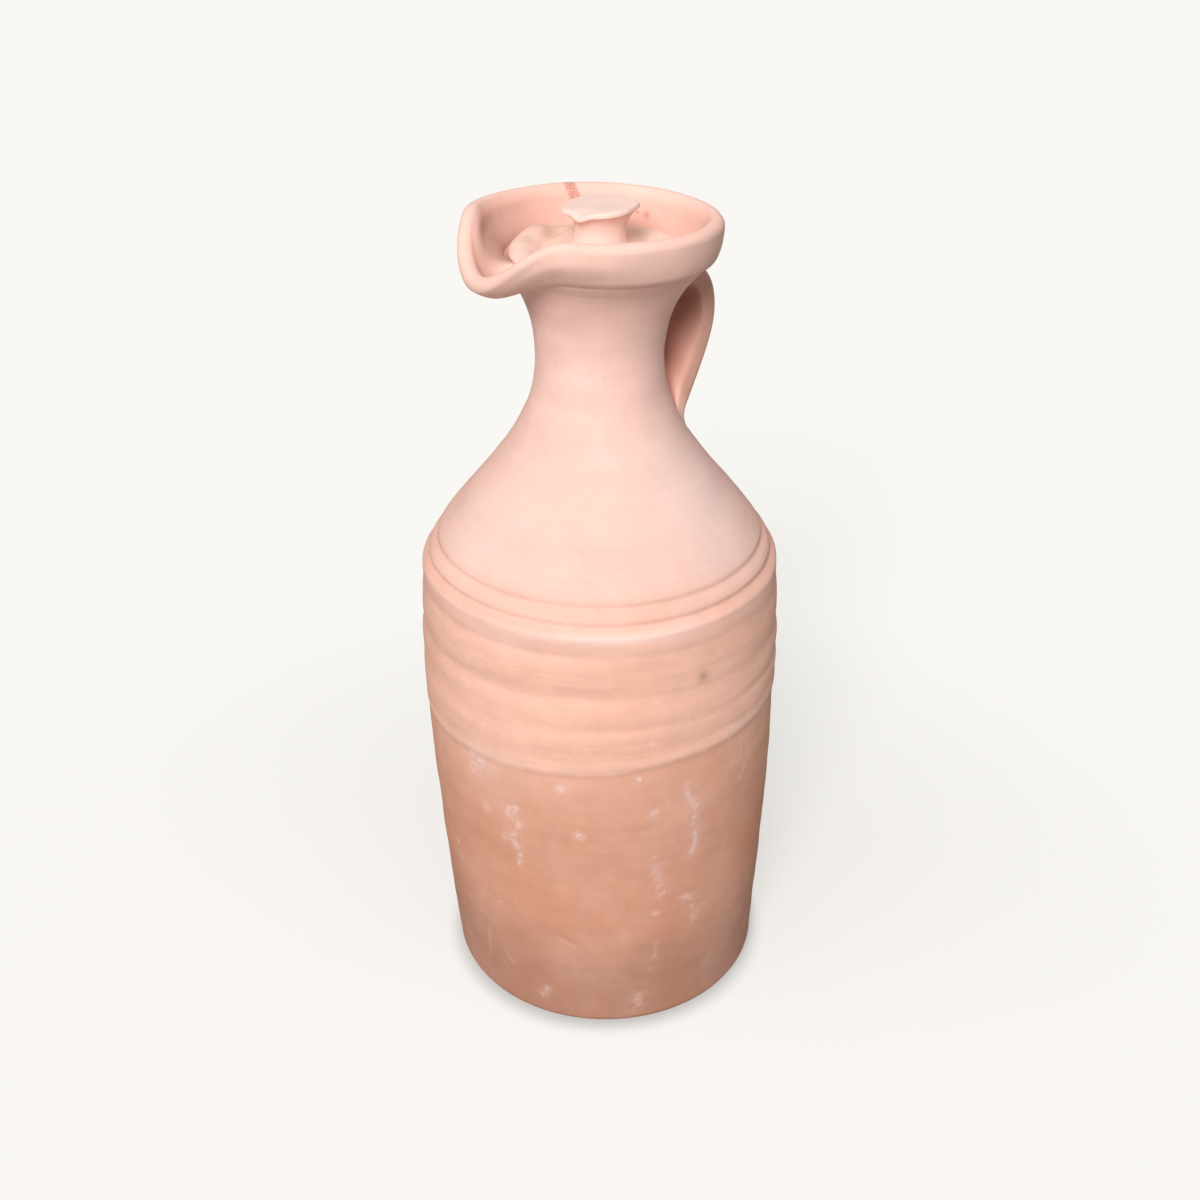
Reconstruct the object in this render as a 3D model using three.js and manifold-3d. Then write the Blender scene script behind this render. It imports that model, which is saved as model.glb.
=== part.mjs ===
// Terracotta water jar: a thrown body in luted sections, a collar with a pinched pouring
// spout, a strap handle and a loose inset lid with a knob.
// Millimetres, +Z up. The origin is the centre of the flat foot, the spout points to -X
// and the handle to +X.

import * as THREE from 'three';
import { mergeVertices } from 'three/addons/utils/BufferGeometryUtils.js';
import Module from 'manifold-3d';

const wasm = await Module();
wasm.setup();

// Foot, floor and wall
const footRadius = 73;            // flat disc that the jar stands on
const heelRound = 6.5;            // rounded heel between the foot and the wall
const floorThickness = 11;
const floorFillet = 9;            // inside, where the floor turns up into the wall
const wallThickness = 7.5;
const bellyRadius = 86.9;         // widest part, at the seam between the two walls
const wallBow = 1.1;              // how far the lower wall bows out from a straight cone
const lowerWallHeight = 163;      // from the foot to the seam between the two walls
const turnedStep = 0.7;           // how far the lower wall was turned back below the seam
const upperWallHeight = 71;       // from that seam to the edge of the shoulder
const upperWallTaper = 2.7;       // how far it draws in from the belly to that edge
const ringPitch = 17.75;          // throwing rings left by the potter's fingers
const ringDepth = 0.7;

// Shoulder and neck
const shoulderRise = 98;          // from the edge to the waist of the neck
const shoulderLean = 26;          // degrees from upright at the edge
const shoulderReach = 35;         // how long the shoulder keeps that lean
const neckReach = 40;             // how long the neck stays upright below its waist
const neckRadius = 28.7;          // at the waist
const neckRise = 45;              // from the waist to the crease under the collar
const neckTopRadius = 48;         // flared top, in the crease under the collar
const flareDrop = 16;             // how far below the crease the flare begins to open
const mouthLean = 2.3;            // degrees that the mouth leans down towards the handle
const grooveRise = 6;             // lower incised line above the shoulder's edge
const grooveSpacing = 7;          // upper incised line above the lower one
const grooveWidth = 3;
const grooveDepth = 1.3;

// Luted joints
const luteGap = 0.3;              // slip between two sections
const tongueHeight = 4;           // inner half of a wall that stands up into the next section

// Collar and spout
const collarDrop = 5.5;           // seam between neck and collar, below the crease
const collarHeight = 19.3;        // from the crease to the top of the lip
const ledgeWidth = 4;             // ledge inside the collar that the lid rests on
const mouthFlare = 3.8;           // how far the inside opens from the ledge to the lip
const lipThickness = 8;
const mouthSpread = 90;           // degrees either side of the spout where the rim opens
const mouthPull = 7;              // how far the rim opens outwards towards the spout
const spoutHalfAngle = 40;        // degrees either side that the spout is drawn from
const spoutReach = 60.5;          // middle of the lip at the tip, from the axis
const spoutDrop = 4.2;            // the same, below the crease
const spoutTurn = 45;             // degrees that the lip is turned over at the tip
const undersideRun = 6;           // the underside leaves the neck outwards
const undersideLift = 3.7;
const undersideSag = 10;          // and hangs below the lip
const channelRun = 3.6;           // the channel falls steeply behind the lip
const channelDepth = 7.8;
const channelRoot = 8.6;          // and rises gently to the ledge
const channelRise = 1.5;

// Lid and knob
const lidPlay = 1.6;              // free space round the lid in the collar, and in the neck
const lidEdgeHeight = 3.4;        // rounded edge above the ledge
const lidBelly = 4;               // underside below the ledge, inside the neck
const moatDepth = 2.6;            // sunken ring round the knob
const ridgeInset = 5;             // top of the lid's ridge in from its edge
const knobFootRadius = 14.5;
const knobStemRadius = 11.5;
const knobHeight = 18.3;
const capRadius = 15.9;
const capThickness = 2.4;
const capFlare = 3;               // how far below the cap the stem begins to flare

// Handle
const handleReach = 56.0;         // outer face from the jar's axis
const handleThickness = 11.5;
const handleWidth = 28;
const handleRound = 4;            // rounded edges of the strap
const handleFlare = 0.12;         // extra width at both ends, as a share
const handleTopDrop = 10;         // upper end below the crease
const handleBendRise = 14;        // furthest point above the waist of the neck
const handleFootDrop = 40;        // lower end below the waist of the neck
const handleTopPull = 17;         // how far the strap runs straight out at the top
const handleBendPull = 12;        // how far it runs upright on either side of the bend
const handleFootPull = 29;        // how far it runs along its lean at the foot
const handleFootLean = 26;        // degrees from upright

// Facets
const bodySegments = 48;
const collarSegments = 72;
const knobSegments = 36;
const wallSteps = 6;
const stepsPerRing = 4;
const shoulderSteps = 14;
const flareSteps = 7;
const bulgeSteps = 5;
const collarSteps = 5;            // down the inside of the collar
const roundSteps = 3;             // in each quarter round
const insideWallSteps = 3;        // the hidden inside is coarser
const insideShoulderSteps = 9;
const insideFlareSteps = 5;
const moatSteps = 6;
const stemSteps = 8;
const strapSteps = 18;
const strapCurveSteps = 2;
const weldDistance = 0.001;

// Heights of the seams and edges
const wallSeam = lowerWallHeight;
const shoulderEdge = wallSeam + upperWallHeight;
const shoulderSeam = shoulderEdge + grooveRise;
const neckWaist = shoulderEdge + shoulderRise;
const creaseHeight = neckWaist + neckRise;
const collarSeam = creaseHeight - collarDrop;
const lipTop = creaseHeight + collarHeight;

const point = (radius, height) => new THREE.Vector2(radius, height);
const radians = THREE.MathUtils.degToRad;

// Quarter round from one point to another; its corner is at the first point's radius
// when upright is true, and otherwise at the first point's height.
function quarterRound(from, to, upright) {
  const points = [];
  for (let i = 0; i <= roundSteps; i += 1) {
    const turn = (i / roundSteps) * Math.PI / 2;
    const early = upright ? 1 - Math.cos(turn) : Math.sin(turn);
    const late = upright ? Math.sin(turn) : 1 - Math.cos(turn);
    points.push(point(
      THREE.MathUtils.lerp(from.x, to.x, early),
      THREE.MathUtils.lerp(from.y, to.y, late),
    ));
  }
  return points;
}

// Point of a rising contour at a height
function pointAt(contour, height) {
  let i = 1;
  while (i < contour.length - 1 && contour[i].y < height) {
    i += 1;
  }
  const low = contour[i - 1];
  const high = contour[i];
  const share = (height - low.y) / (high.y - low.y);
  return point(THREE.MathUtils.lerp(low.x, high.x, share), height);
}

// Stretch of a rising contour between two heights
function stretch(contour, from, to) {
  const between = contour.filter((p) => p.y > from && p.y < to);
  return [pointAt(contour, from), ...between, pointAt(contour, to)];
}

// Contour moved sideways: out for a positive distance, in for a negative one
function offset(contour, distance) {
  return contour.map((p, i) => {
    const before = contour[Math.max(i - 1, 0)];
    const after = contour[Math.min(i + 1, contour.length - 1)];
    const along = after.clone().sub(before).normalize();
    return point(p.x + along.y * distance, p.y - along.x * distance);
  });
}

// Contour with an incised line cut into it at a height
function incise(contour, height) {
  const low = height - grooveWidth / 2;
  const high = height + grooveWidth / 2;
  const bottom = pointAt(contour, height);
  bottom.x -= grooveDepth;
  return [
    ...contour.filter((p) => p.y < low),
    pointAt(contour, low),
    bottom,
    pointAt(contour, high),
    ...contour.filter((p) => p.y > high),
  ];
}

// Solid of revolution about the jar's axis
function turned(profile, segments) {
  const geometry = new THREE.LatheGeometry(profile, segments);
  geometry.rotateX(Math.PI / 2);
  return geometry;
}

// The mouth's lean: everything above the waist of the neck sinks towards the handle
function leaned(geometry) {
  const position = geometry.attributes.position;
  for (let i = 0; i < position.count; i += 1) {
    const share = THREE.MathUtils.smoothstep(position.getZ(i), neckWaist, creaseHeight);
    const sink = position.getX(i) * Math.tan(radians(mouthLean)) * share;
    position.setZ(i, position.getZ(i) - sink);
  }
  return geometry;
}

const ringProfile = (points) => [...points, points[0].clone()];

// Curves of the outside, from the heel to the crease under the collar
const wallFoot = point(footRadius + heelRound, heelRound);
const wallTop = point(bellyRadius - turnedStep, wallSeam);
const wallMiddle = wallFoot.clone().add(wallTop).multiplyScalar(0.5);
wallMiddle.x += 2 * wallBow;
const lowerWall = new THREE.QuadraticBezierCurve(wallFoot, wallMiddle, wallTop);

const belly = point(bellyRadius, wallSeam);
const shoulderStart = point(bellyRadius - upperWallTaper, shoulderEdge);
const upperWallBow = point(bellyRadius, (wallSeam + shoulderEdge) / 2);
const upperWall = new THREE.QuadraticBezierCurve(belly, upperWallBow, shoulderStart);

const lean = radians(shoulderLean);
const shoulderRun = point(-Math.sin(lean), Math.cos(lean)).multiplyScalar(shoulderReach);
const waist = point(neckRadius, neckWaist);
const shoulder = new THREE.CubicBezierCurve(
  shoulderStart,
  shoulderStart.clone().add(shoulderRun),
  point(neckRadius, neckWaist - neckReach),
  waist,
);

const crease = point(neckTopRadius, creaseHeight);
const flare = new THREE.QuadraticBezierCurve(
  waist,
  point(neckRadius, creaseHeight - flareDrop),
  crease,
);

const ringSteps = stepsPerRing * Math.round(upperWallHeight / ringPitch);
const upperWallPoints = upperWall.getPoints(ringSteps);
const neckPoints = [
  ...shoulder.getPoints(shoulderSteps).slice(1),
  ...flare.getPoints(flareSteps).slice(1),
];
const plainOutside = [
  ...lowerWall.getPoints(insideWallSteps),
  ...upperWall.getPoints(insideWallSteps),
  ...shoulder.getPoints(insideShoulderSteps).slice(1),
  ...flare.getPoints(insideFlareSteps).slice(1),
];
const inside = offset(plainOutside, -wallThickness);

const ringedWall = upperWallPoints.map((p) => {
  const ring = (1 - Math.cos(2 * Math.PI * (p.y - wallSeam) / ringPitch)) / 2;
  return point(p.x - ring * ringDepth, p.y);
});
const smoothOutside = [...lowerWall.getPoints(wallSteps), ...ringedWall, ...neckPoints];
const outside = incise(incise(smoothOutside, shoulderSeam), shoulderSeam + grooveSpacing);

// A seam's tongue: the inner half of the lower wall stands up into the upper one
function seamRadius(height) {
  return (pointAt(plainOutside, height).x + pointAt(inside, height).x) / 2;
}

function tongue(height) {
  const radius = seamRadius(height);
  return [point(radius, height), point(radius, height + tongueHeight)];
}

function rebate(height) {
  const radius = seamRadius(height) + luteGap;
  const foot = height + luteGap;
  return [point(radius, foot + tongueHeight), point(radius, foot)];
}

function innerWall(from, to) {
  return stretch(inside, from, to).reverse();
}

// Floor, heel and turned lower wall
function lowerBody() {
  const innerFoot = pointAt(inside, floorThickness + floorFillet);
  const floorEdge = point(innerFoot.x - floorFillet, floorThickness);
  return turned([
    point(0, 0),
    ...quarterRound(point(footRadius, 0), wallFoot, false),
    ...stretch(outside, heelRound, wallSeam).slice(1),
    ...tongue(wallSeam),
    ...innerWall(innerFoot.y, wallSeam + tongueHeight).slice(0, -1),
    ...quarterRound(innerFoot, floorEdge, true),
    point(0, floorThickness),
  ], bodySegments);
}

// Upper wall with its throwing rings
function upperBody() {
  return turned(ringProfile([
    ...stretch(outside, wallSeam + luteGap, shoulderSeam),
    ...tongue(shoulderSeam),
    ...innerWall(wallSeam + luteGap + tongueHeight, shoulderSeam + tongueHeight),
    ...rebate(wallSeam),
  ]), bodySegments);
}

// Shoulder, neck and the lower part of the flare. Its flat top carries the collar.
function shoulderNeck() {
  return leaned(turned(ringProfile([
    ...stretch(outside, shoulderSeam + luteGap, collarSeam),
    ...innerWall(shoulderSeam + luteGap + tongueHeight, collarSeam),
    ...rebate(shoulderSeam),
  ]), bodySegments));
}

// Collar: the upper flare, a bulge, a rolled lip, an inner wall, the lid's ledge and the bore
const ledgeHeight = creaseHeight;
const boreRadius = pointAt(inside, ledgeHeight).x;
const mouthRadius = boreRadius + ledgeWidth;
const rimRadius = mouthRadius + mouthFlare + lipThickness;
const lipRound = lipThickness / 2;
const lipMiddle = point(rimRadius - lipRound, lipTop - lipRound);
const bulge = new THREE.CubicBezierCurve(
  crease,
  point((neckTopRadius + rimRadius) / 2, creaseHeight + lipRound / 2),
  point(rimRadius, (creaseHeight + lipMiddle.y) / 2),
  point(rimRadius, lipMiddle.y),
);
const collarOutside = [
  ...stretch(outside, collarSeam + luteGap, creaseHeight),
  ...bulge.getPoints(bulgeSteps).slice(1, -1),
];
const ledge = [
  point(mouthRadius, ledgeHeight),
  ...innerWall(collarSeam + luteGap, ledgeHeight),
];

// Half round of the lip about its middle, from the outside over to the inside
function lipArc(middle, turnedOver) {
  const points = [];
  for (let i = 0; i <= 2 * roundSteps; i += 1) {
    const turn = Math.PI * i / (2 * roundSteps) - radians(turnedOver);
    points.push(point(middle.x + lipRound * Math.cos(turn), middle.y + lipRound * Math.sin(turn)));
  }
  return points;
}

// Section of the plain rim
function rimSection() {
  const lip = lipArc(lipMiddle, 0);
  const wall = new THREE.LineCurve(lip[lip.length - 1], ledge[0]);
  return [...collarOutside, ...lip, ...wall.getPoints(collarSteps).slice(1, -1), ...ledge];
}

// Section at the tip of the spout, point for point with the rim's
function spoutSection() {
  const foot = collarOutside[0];
  const lip = lipArc(point(spoutReach, creaseHeight - spoutDrop), spoutTurn);
  const outerLip = lip[0];
  const innerLip = lip[lip.length - 1];
  const underside = new THREE.CubicBezierCurve(
    foot,
    point(foot.x + undersideRun, foot.y + undersideLift),
    point(foot.x + undersideRun, outerLip.y - undersideSag),
    outerLip,
  );
  const channel = new THREE.CubicBezierCurve(
    innerLip,
    point(innerLip.x - channelRun, innerLip.y - channelDepth),
    point(mouthRadius + channelRoot, ledgeHeight + channelRise),
    ledge[0],
  );
  return [
    ...underside.getPoints(collarOutside.length).slice(0, -1),
    ...lip,
    ...channel.getPoints(collarSteps).slice(1, -1),
    ...ledge,
  ];
}

function bell(share) {
  return Math.cos(Math.min(share, 1) * Math.PI / 2) ** 2;
}

// Spout: towards -X the rim opens outwards, and its section is drawn into the spout's
function pouringCollar() {
  const rim = ringProfile(rimSection());
  const spout = ringProfile(spoutSection());
  const collar = turned(rim, collarSegments);
  const position = collar.attributes.position;
  for (let i = 0; i < position.count; i += 1) {
    const from = rim[i % rim.length];
    const angle = Math.atan2(position.getY(i), -position.getX(i));
    const side = THREE.MathUtils.radToDeg(Math.abs(angle));
    const up = THREE.MathUtils.smoothstep(from.y, ledgeHeight, lipTop - lipThickness);
    const opened = point(from.x + mouthPull * bell(side / mouthSpread) * up, from.y);
    const drawn = opened.lerp(spout[i % rim.length], bell(side / spoutHalfAngle));
    position.setXYZ(i, -drawn.x * Math.cos(angle), drawn.x * Math.sin(angle), drawn.y);
  }
  return leaned(collar);
}

// Lid: it drops into the collar and rests with its flange on the ledge
const lidRadius = mouthRadius - lidPlay;
const lidSeat = ledgeHeight + luteGap;
const lidTop = lidSeat + lidEdgeHeight;

function lidPlate() {
  const ridge = point(lidRadius - ridgeInset, lidTop);
  const moat = [];
  for (let i = 1; i <= moatSteps; i += 1) {
    const radius = THREE.MathUtils.lerp(ridge.x, knobFootRadius, i / moatSteps);
    const sink = Math.sin(Math.PI * i / moatSteps) ** 2;
    moat.push(point(radius, lidTop - moatDepth * sink));
  }
  const underside = lidSeat - lidBelly;
  return leaned(turned([
    point(0, underside),
    point(boreRadius - lidPlay - 2 * lidBelly, underside),
    point(boreRadius - lidPlay, lidSeat),
    ...quarterRound(point(lidRadius, lidSeat), ridge, true),
    ...moat,
    point(0, lidTop),
  ], bodySegments));
}

// Knob: a waisted stem under a thin flat cap
function lidKnob() {
  const foot = lidTop + luteGap;
  const top = foot + knobHeight;
  const capEdge = point(capRadius, top - capThickness);
  const stem = new THREE.CubicBezierCurve(
    point(knobFootRadius, foot),
    point(2 * knobStemRadius - knobFootRadius, foot + capFlare),
    point(knobStemRadius, capEdge.y - capFlare),
    capEdge,
  );
  return leaned(turned([
    point(0, foot),
    ...stem.getPoints(stemSteps),
    ...quarterRound(capEdge, point(capRadius - capThickness, top), true).slice(1),
    point(0, top),
  ], knobSegments));
}

// Handle: a strap drawn along a curve in the plane of the spout and trimmed to the jar
function handlePath() {
  const inPlane = (x, z) => new THREE.Vector3(x, 0, z);
  const bendX = handleReach - handleThickness / 2;
  const bendZ = neckWaist + handleBendRise;
  const topZ = creaseHeight - handleTopDrop;
  const footZ = neckWaist - handleFootDrop;
  const footLean = radians(handleFootLean);
  const path = new THREE.CurvePath();
  path.add(new THREE.CubicBezierCurve3(
    inPlane(neckRadius, topZ),
    inPlane(neckRadius + handleTopPull, topZ),
    inPlane(bendX, bendZ + handleBendPull),
    inPlane(bendX, bendZ),
  ));
  path.add(new THREE.CubicBezierCurve3(
    inPlane(bendX, bendZ),
    inPlane(bendX, bendZ - handleBendPull),
    inPlane(
      neckRadius + handleFootPull * Math.sin(footLean),
      footZ + handleFootPull * Math.cos(footLean),
    ),
    inPlane(neckRadius, footZ),
  ));
  return path;
}

function strap() {
  const sideways = handleWidth / 2 - handleRound;
  const inwards = handleThickness / 2 - handleRound;
  const section = new THREE.Shape();
  section.absarc(sideways, inwards, handleRound, 0, Math.PI / 2);
  section.absarc(-sideways, inwards, handleRound, Math.PI / 2, Math.PI);
  section.absarc(-sideways, -inwards, handleRound, Math.PI, 3 * Math.PI / 2);
  section.absarc(sideways, -inwards, handleRound, 3 * Math.PI / 2, 2 * Math.PI);
  const geometry = new THREE.ExtrudeGeometry(section, {
    steps: strapSteps,
    curveSegments: strapCurveSteps,
    bevelEnabled: false,
    extrudePath: handlePath(),
  });
  const position = geometry.attributes.position;
  const middle = neckWaist + handleBendRise;
  const half = handleFootDrop + handleBendRise;
  for (let i = 0; i < position.count; i += 1) {
    const away = Math.min(Math.abs(position.getZ(i) - middle) / half, 1);
    position.setY(i, position.getY(i) * (1 + handleFlare * away ** 2));
  }
  return geometry;
}

// Outside of the jar from the shoulder to the lip, grown by the slip
function jarTrim(segments) {
  const contour = [...stretch(outside, shoulderSeam, collarSeam), ...collarOutside.slice(1)];
  const grown = offset(contour, luteGap);
  const low = point(0, grown[0].y);
  const high = point(0, grown[grown.length - 1].y);
  return leaned(turned([low, ...grown, high], segments));
}

function solidOf(geometry) {
  const bare = geometry.clone();
  bare.deleteAttribute('normal');
  bare.deleteAttribute('uv');
  const merged = mergeVertices(bare, weldDistance);
  return new wasm.Manifold(new wasm.Mesh({
    numProp: 3,
    vertProperties: new Float32Array(merged.attributes.position.array),
    triVerts: new Uint32Array(merged.index.array),
  }));
}

function geometryOf(solid) {
  const mesh = solid.getMesh();
  const geometry = new THREE.BufferGeometry();
  geometry.setAttribute('position', new THREE.BufferAttribute(mesh.vertProperties, 3));
  geometry.setIndex(new THREE.BufferAttribute(mesh.triVerts, 1));
  geometry.computeVertexNormals();
  return geometry;
}

function handle() {
  const neckTrim = solidOf(jarTrim(bodySegments));
  const collarTrim = solidOf(jarTrim(collarSegments));
  return geometryOf(solidOf(strap()).subtract(neckTrim).subtract(collarTrim));
}

// Assembly
const jar = new THREE.Group();

function addPiece(name, geometry, colour) {
  const clay = new THREE.MeshStandardMaterial({ color: colour, roughness: 0.85, metalness: 0 });
  const piece = new THREE.Mesh(geometry, clay);
  piece.name = name;
  jar.add(piece);
}

addPiece('lower_body', lowerBody(), 0xcd9275);
addPiece('upper_body', upperBody(), 0xe6b39e);
addPiece('shoulder_neck', shoulderNeck(), 0xebbca8);
addPiece('pouring_collar', pouringCollar(), 0xe8b8a4);
addPiece('handle', handle(), 0xdfa993);
addPiece('lid_plate', lidPlate(), 0xe8bba8);
addPiece('lid_knob', lidKnob(), 0xebc1ae);

export default jar;
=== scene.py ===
# %% [markdown]
# # A terracotta water jar
# An unglazed clay jar for cooling drinking water: a turned base, a wall with throwing rings,
# a narrow neck, a collar pinched into a pouring spout, a strap handle and a loose lid.
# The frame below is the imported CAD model. Every visible piece is made here with finer
# shape and finish, stands for one node of that model, and rides on the same body.

# %% Load the frame
import math

import bpy
import numpy as np
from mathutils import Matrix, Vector


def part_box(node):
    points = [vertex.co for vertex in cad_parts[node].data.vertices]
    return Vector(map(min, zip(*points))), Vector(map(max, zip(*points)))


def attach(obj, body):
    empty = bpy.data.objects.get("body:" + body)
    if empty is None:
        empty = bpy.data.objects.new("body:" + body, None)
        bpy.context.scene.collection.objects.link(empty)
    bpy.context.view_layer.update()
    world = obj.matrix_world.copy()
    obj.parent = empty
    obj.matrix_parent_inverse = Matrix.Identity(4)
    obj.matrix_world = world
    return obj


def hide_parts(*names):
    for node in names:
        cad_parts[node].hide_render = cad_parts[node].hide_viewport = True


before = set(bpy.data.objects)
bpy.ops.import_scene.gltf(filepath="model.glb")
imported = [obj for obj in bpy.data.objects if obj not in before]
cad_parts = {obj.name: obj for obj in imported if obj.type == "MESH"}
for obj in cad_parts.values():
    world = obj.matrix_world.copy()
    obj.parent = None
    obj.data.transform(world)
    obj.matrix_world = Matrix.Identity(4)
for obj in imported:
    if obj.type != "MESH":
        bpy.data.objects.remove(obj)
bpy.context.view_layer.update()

# %% [markdown]
# ## Camera and light
# The photograph was taken from a little above, with the spout to the left. The camera
# could be placed by eye, but its height, distance and lens follow from the ellipses of the
# foot, the incised lines and the rim, so those solved values are used. One broad lamp stands
# a little to the left of it. An area lamp would do, but a sun with a wide angle gives the
# same soft edge without a distance to choose, and the sky fills in from overhead.

# %% Camera
CAMERA_PLACE = Vector((-0.3639, -0.5198, 0.5763))
CAMERA_AIM = Vector((0.0, 0.0, 0.205))
LENS_MM = 45.2
SENSOR_MM = 36.0

camera_data = bpy.data.cameras.new("photo_camera")
camera_data.lens = LENS_MM
camera_data.sensor_width = SENSOR_MM
camera = bpy.data.objects.new("photo_camera", camera_data)
camera.location = CAMERA_PLACE
camera.rotation_mode = "QUATERNION"
camera.rotation_quaternion = (CAMERA_AIM - CAMERA_PLACE).to_track_quat("-Z", "Y")
bpy.context.scene.collection.objects.link(camera)
bpy.context.scene.camera = camera
bpy.context.scene.view_settings.view_transform = "Standard"
print("camera distance:", (CAMERA_AIM - CAMERA_PLACE).length)

# %% Key light
KEY_STRENGTH = 2.77
KEY_SPREAD = math.radians(22)
KEY_AZIMUTH = math.radians(221)
KEY_RISE = math.radians(35)

key_side = Vector((math.cos(KEY_AZIMUTH), math.sin(KEY_AZIMUTH), 0))
key_from = key_side * math.cos(KEY_RISE) + Vector((0, 0, math.sin(KEY_RISE)))
key_data = bpy.data.lights.new("key", "SUN")
key_data.energy = KEY_STRENGTH
key_data.angle = KEY_SPREAD
key = bpy.data.objects.new("key", key_data)
key.rotation_mode = "QUATERNION"
key.rotation_quaternion = (-key_from).to_track_quat("-Z", "Y")
bpy.context.scene.collection.objects.link(key)
print("key light comes from", tuple(round(c, 3) for c in key_from))

# %% [markdown]
# ## Floor and backdrop
# The jar stands on a plain pale floor before a backdrop of the same colour. A white floor
# lit by the lamp alone would light the jar from below and turn grey in the distance, so
# Light Path splits it in two. What bounces is a quieter grey. What the camera sees is mostly
# the floor's own glow, and only the rest takes the lamp's shadow. Ambient Occlusion dims the
# glow under the foot and on the side away from the lamp, which gives a studio's soft shade.


# %% Node helpers
def srgb(red, green, blue):
    """A colour as it is picked on screen, 0 to 255, as the linear RGBA that a socket holds."""
    shares = [c / 255 for c in (red, green, blue)]
    linear = [s / 12.92 if s <= 0.04045 else ((s + 0.055) / 1.055) ** 2.4 for s in shares]
    return (*linear, 1.0)


def node(tree, kind, inputs=None, **settings):
    """A node with its settings, and with its inputs set to a value or linked to a socket."""
    made = tree.nodes.new(kind)
    for key, value in settings.items():
        setattr(made, key, value)
    for key, value in (inputs or {}).items():
        if isinstance(value, bpy.types.NodeSocket):
            tree.links.new(value, made.inputs[key])
        else:
            made.inputs[key].default_value = value
    return made


def new_material(name):
    """An empty material: its tree and the output that a shader goes to."""
    material = bpy.data.materials.new(name)
    material.use_nodes = True
    material.node_tree.nodes.clear()
    output = node(material.node_tree, "ShaderNodeOutputMaterial")
    return material, material.node_tree, output


def maths(tree, operation, first, second):
    made = node(tree, "ShaderNodeMath", {0: first, 1: second}, operation=operation)
    return made.outputs[0]


def ramp(tree, value, low, high, to_low=0.0, to_high=1.0):
    """A smooth step of a value between two thresholds."""
    made = node(tree, "ShaderNodeMapRange", {
        "Value": value, "From Min": low, "From Max": high, "To Min": to_low, "To Max": to_high,
    }, interpolation_type="SMOOTHSTEP")
    return made.outputs["Result"]


def mixed(tree, share, first, second, mode="MIX"):
    made = node(tree, "ShaderNodeMix", {0: share, 6: first, 7: second},
                data_type="RGBA", blend_type=mode, clamp_factor=True)
    return made.outputs[2]


print("a mid grey on screen is", round(srgb(128, 128, 128)[0], 3), "in a socket")

# %% Floor material
FLOOR_COLOUR = srgb(253, 251, 247)
FLOOR_GLOW = 0.70                 # share of the floor's look that the lamp's shadow doesn't reach
FLOOR_LIT = 0.275                 # share that it does
FLOOR_BOUNCE = (0.30, 0.29, 0.28, 1.0)
# Soft shade behind the jar, and narrow shade under its foot: reach in metres, the openness
# at which it is darkest, and what is left of the glow there.
NEAR_SHADE = (0.30, 0.74, 0.76)
FOOT_SHADE = (0.010, 0.38, 0.58)
SHADE_ENDS = (-0.22, 0.10)        # places along the lamp's side between which the soft shade ends
SHADE_SAMPLES = 6
WHITE = (1.0, 1.0, 1.0, 1.0)


def looked_at(tree):
    """1 for rays from the camera, a mirror or glass, and 0 for light that bounces."""
    path = node(tree, "ShaderNodeLightPath").outputs
    seen = maths(tree, "MAXIMUM", path["Is Camera Ray"], path["Is Glossy Ray"])
    return maths(tree, "MAXIMUM", seen, path["Is Transmission Ray"])


def shaded(tree, reach, closest, darkest):
    """1 on the open floor, and less where something stands close by."""
    opened = node(tree, "ShaderNodeAmbientOcclusion", {"Distance": reach}, samples=SHADE_SAMPLES)
    return ramp(tree, opened.outputs["AO"], closest, 1.0, darkest, 1.0)


floor_material, floor_tree, floor_output = new_material("pale floor")
bounce = node(floor_tree, "ShaderNodeBsdfDiffuse", {"Color": FLOOR_BOUNCE})
lit_colour = (*[c * FLOOR_LIT for c in FLOOR_COLOUR[:3]], 1.0)
lit = node(floor_tree, "ShaderNodeBsdfDiffuse", {"Color": lit_colour})
on_floor = node(floor_tree, "ShaderNodeTexCoord").outputs["Object"]
to_lamp = node(floor_tree, "ShaderNodeVectorMath", {0: on_floor, 1: key_side}, operation="DOT_PRODUCT")
behind = ramp(floor_tree, to_lamp.outputs["Value"], *SHADE_ENDS, 1.0, 0.0)
near_shade = mixed(floor_tree, behind, WHITE, shaded(floor_tree, *NEAR_SHADE))
soft_shade = maths(floor_tree, "MULTIPLY", near_shade, shaded(floor_tree, *FOOT_SHADE))
glow = node(floor_tree, "ShaderNodeEmission", {
    "Color": FLOOR_COLOUR, "Strength": maths(floor_tree, "MULTIPLY", soft_shade, FLOOR_GLOW),
})
look = node(floor_tree, "ShaderNodeAddShader", {0: lit.outputs[0], 1: glow.outputs[0]})
floor_shader = node(floor_tree, "ShaderNodeMixShader", {
    0: looked_at(floor_tree), 1: bounce.outputs[0], 2: look.outputs[0],
})
floor_tree.links.new(floor_shader.outputs[0], floor_output.inputs["Surface"])
print("floor material has", len(floor_tree.nodes), "nodes")

# %% Floor
FLOOR_SIZE = 30.0

half = FLOOR_SIZE / 2
floor_mesh = bpy.data.meshes.new("floor")
floor_mesh.from_pydata([(-half, -half, 0), (half, -half, 0), (half, half, 0), (-half, half, 0)],
                       [], [(0, 1, 2, 3)])
floor_mesh.materials.append(floor_material)
floor = bpy.data.objects.new("floor", floor_mesh)
bpy.context.scene.collection.objects.link(floor)
print("floor is", FLOOR_SIZE, "m wide")

# %% Backdrop and soft light
BACKDROP = 0.97
SKY_COLOUR = (1.0, 0.99, 0.975, 1.0)
SKY_SIDE = 0.06                   # strength of the soft light at the horizon
SKY_ABOVE = 0.63                  # and what is added to it overhead

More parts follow.
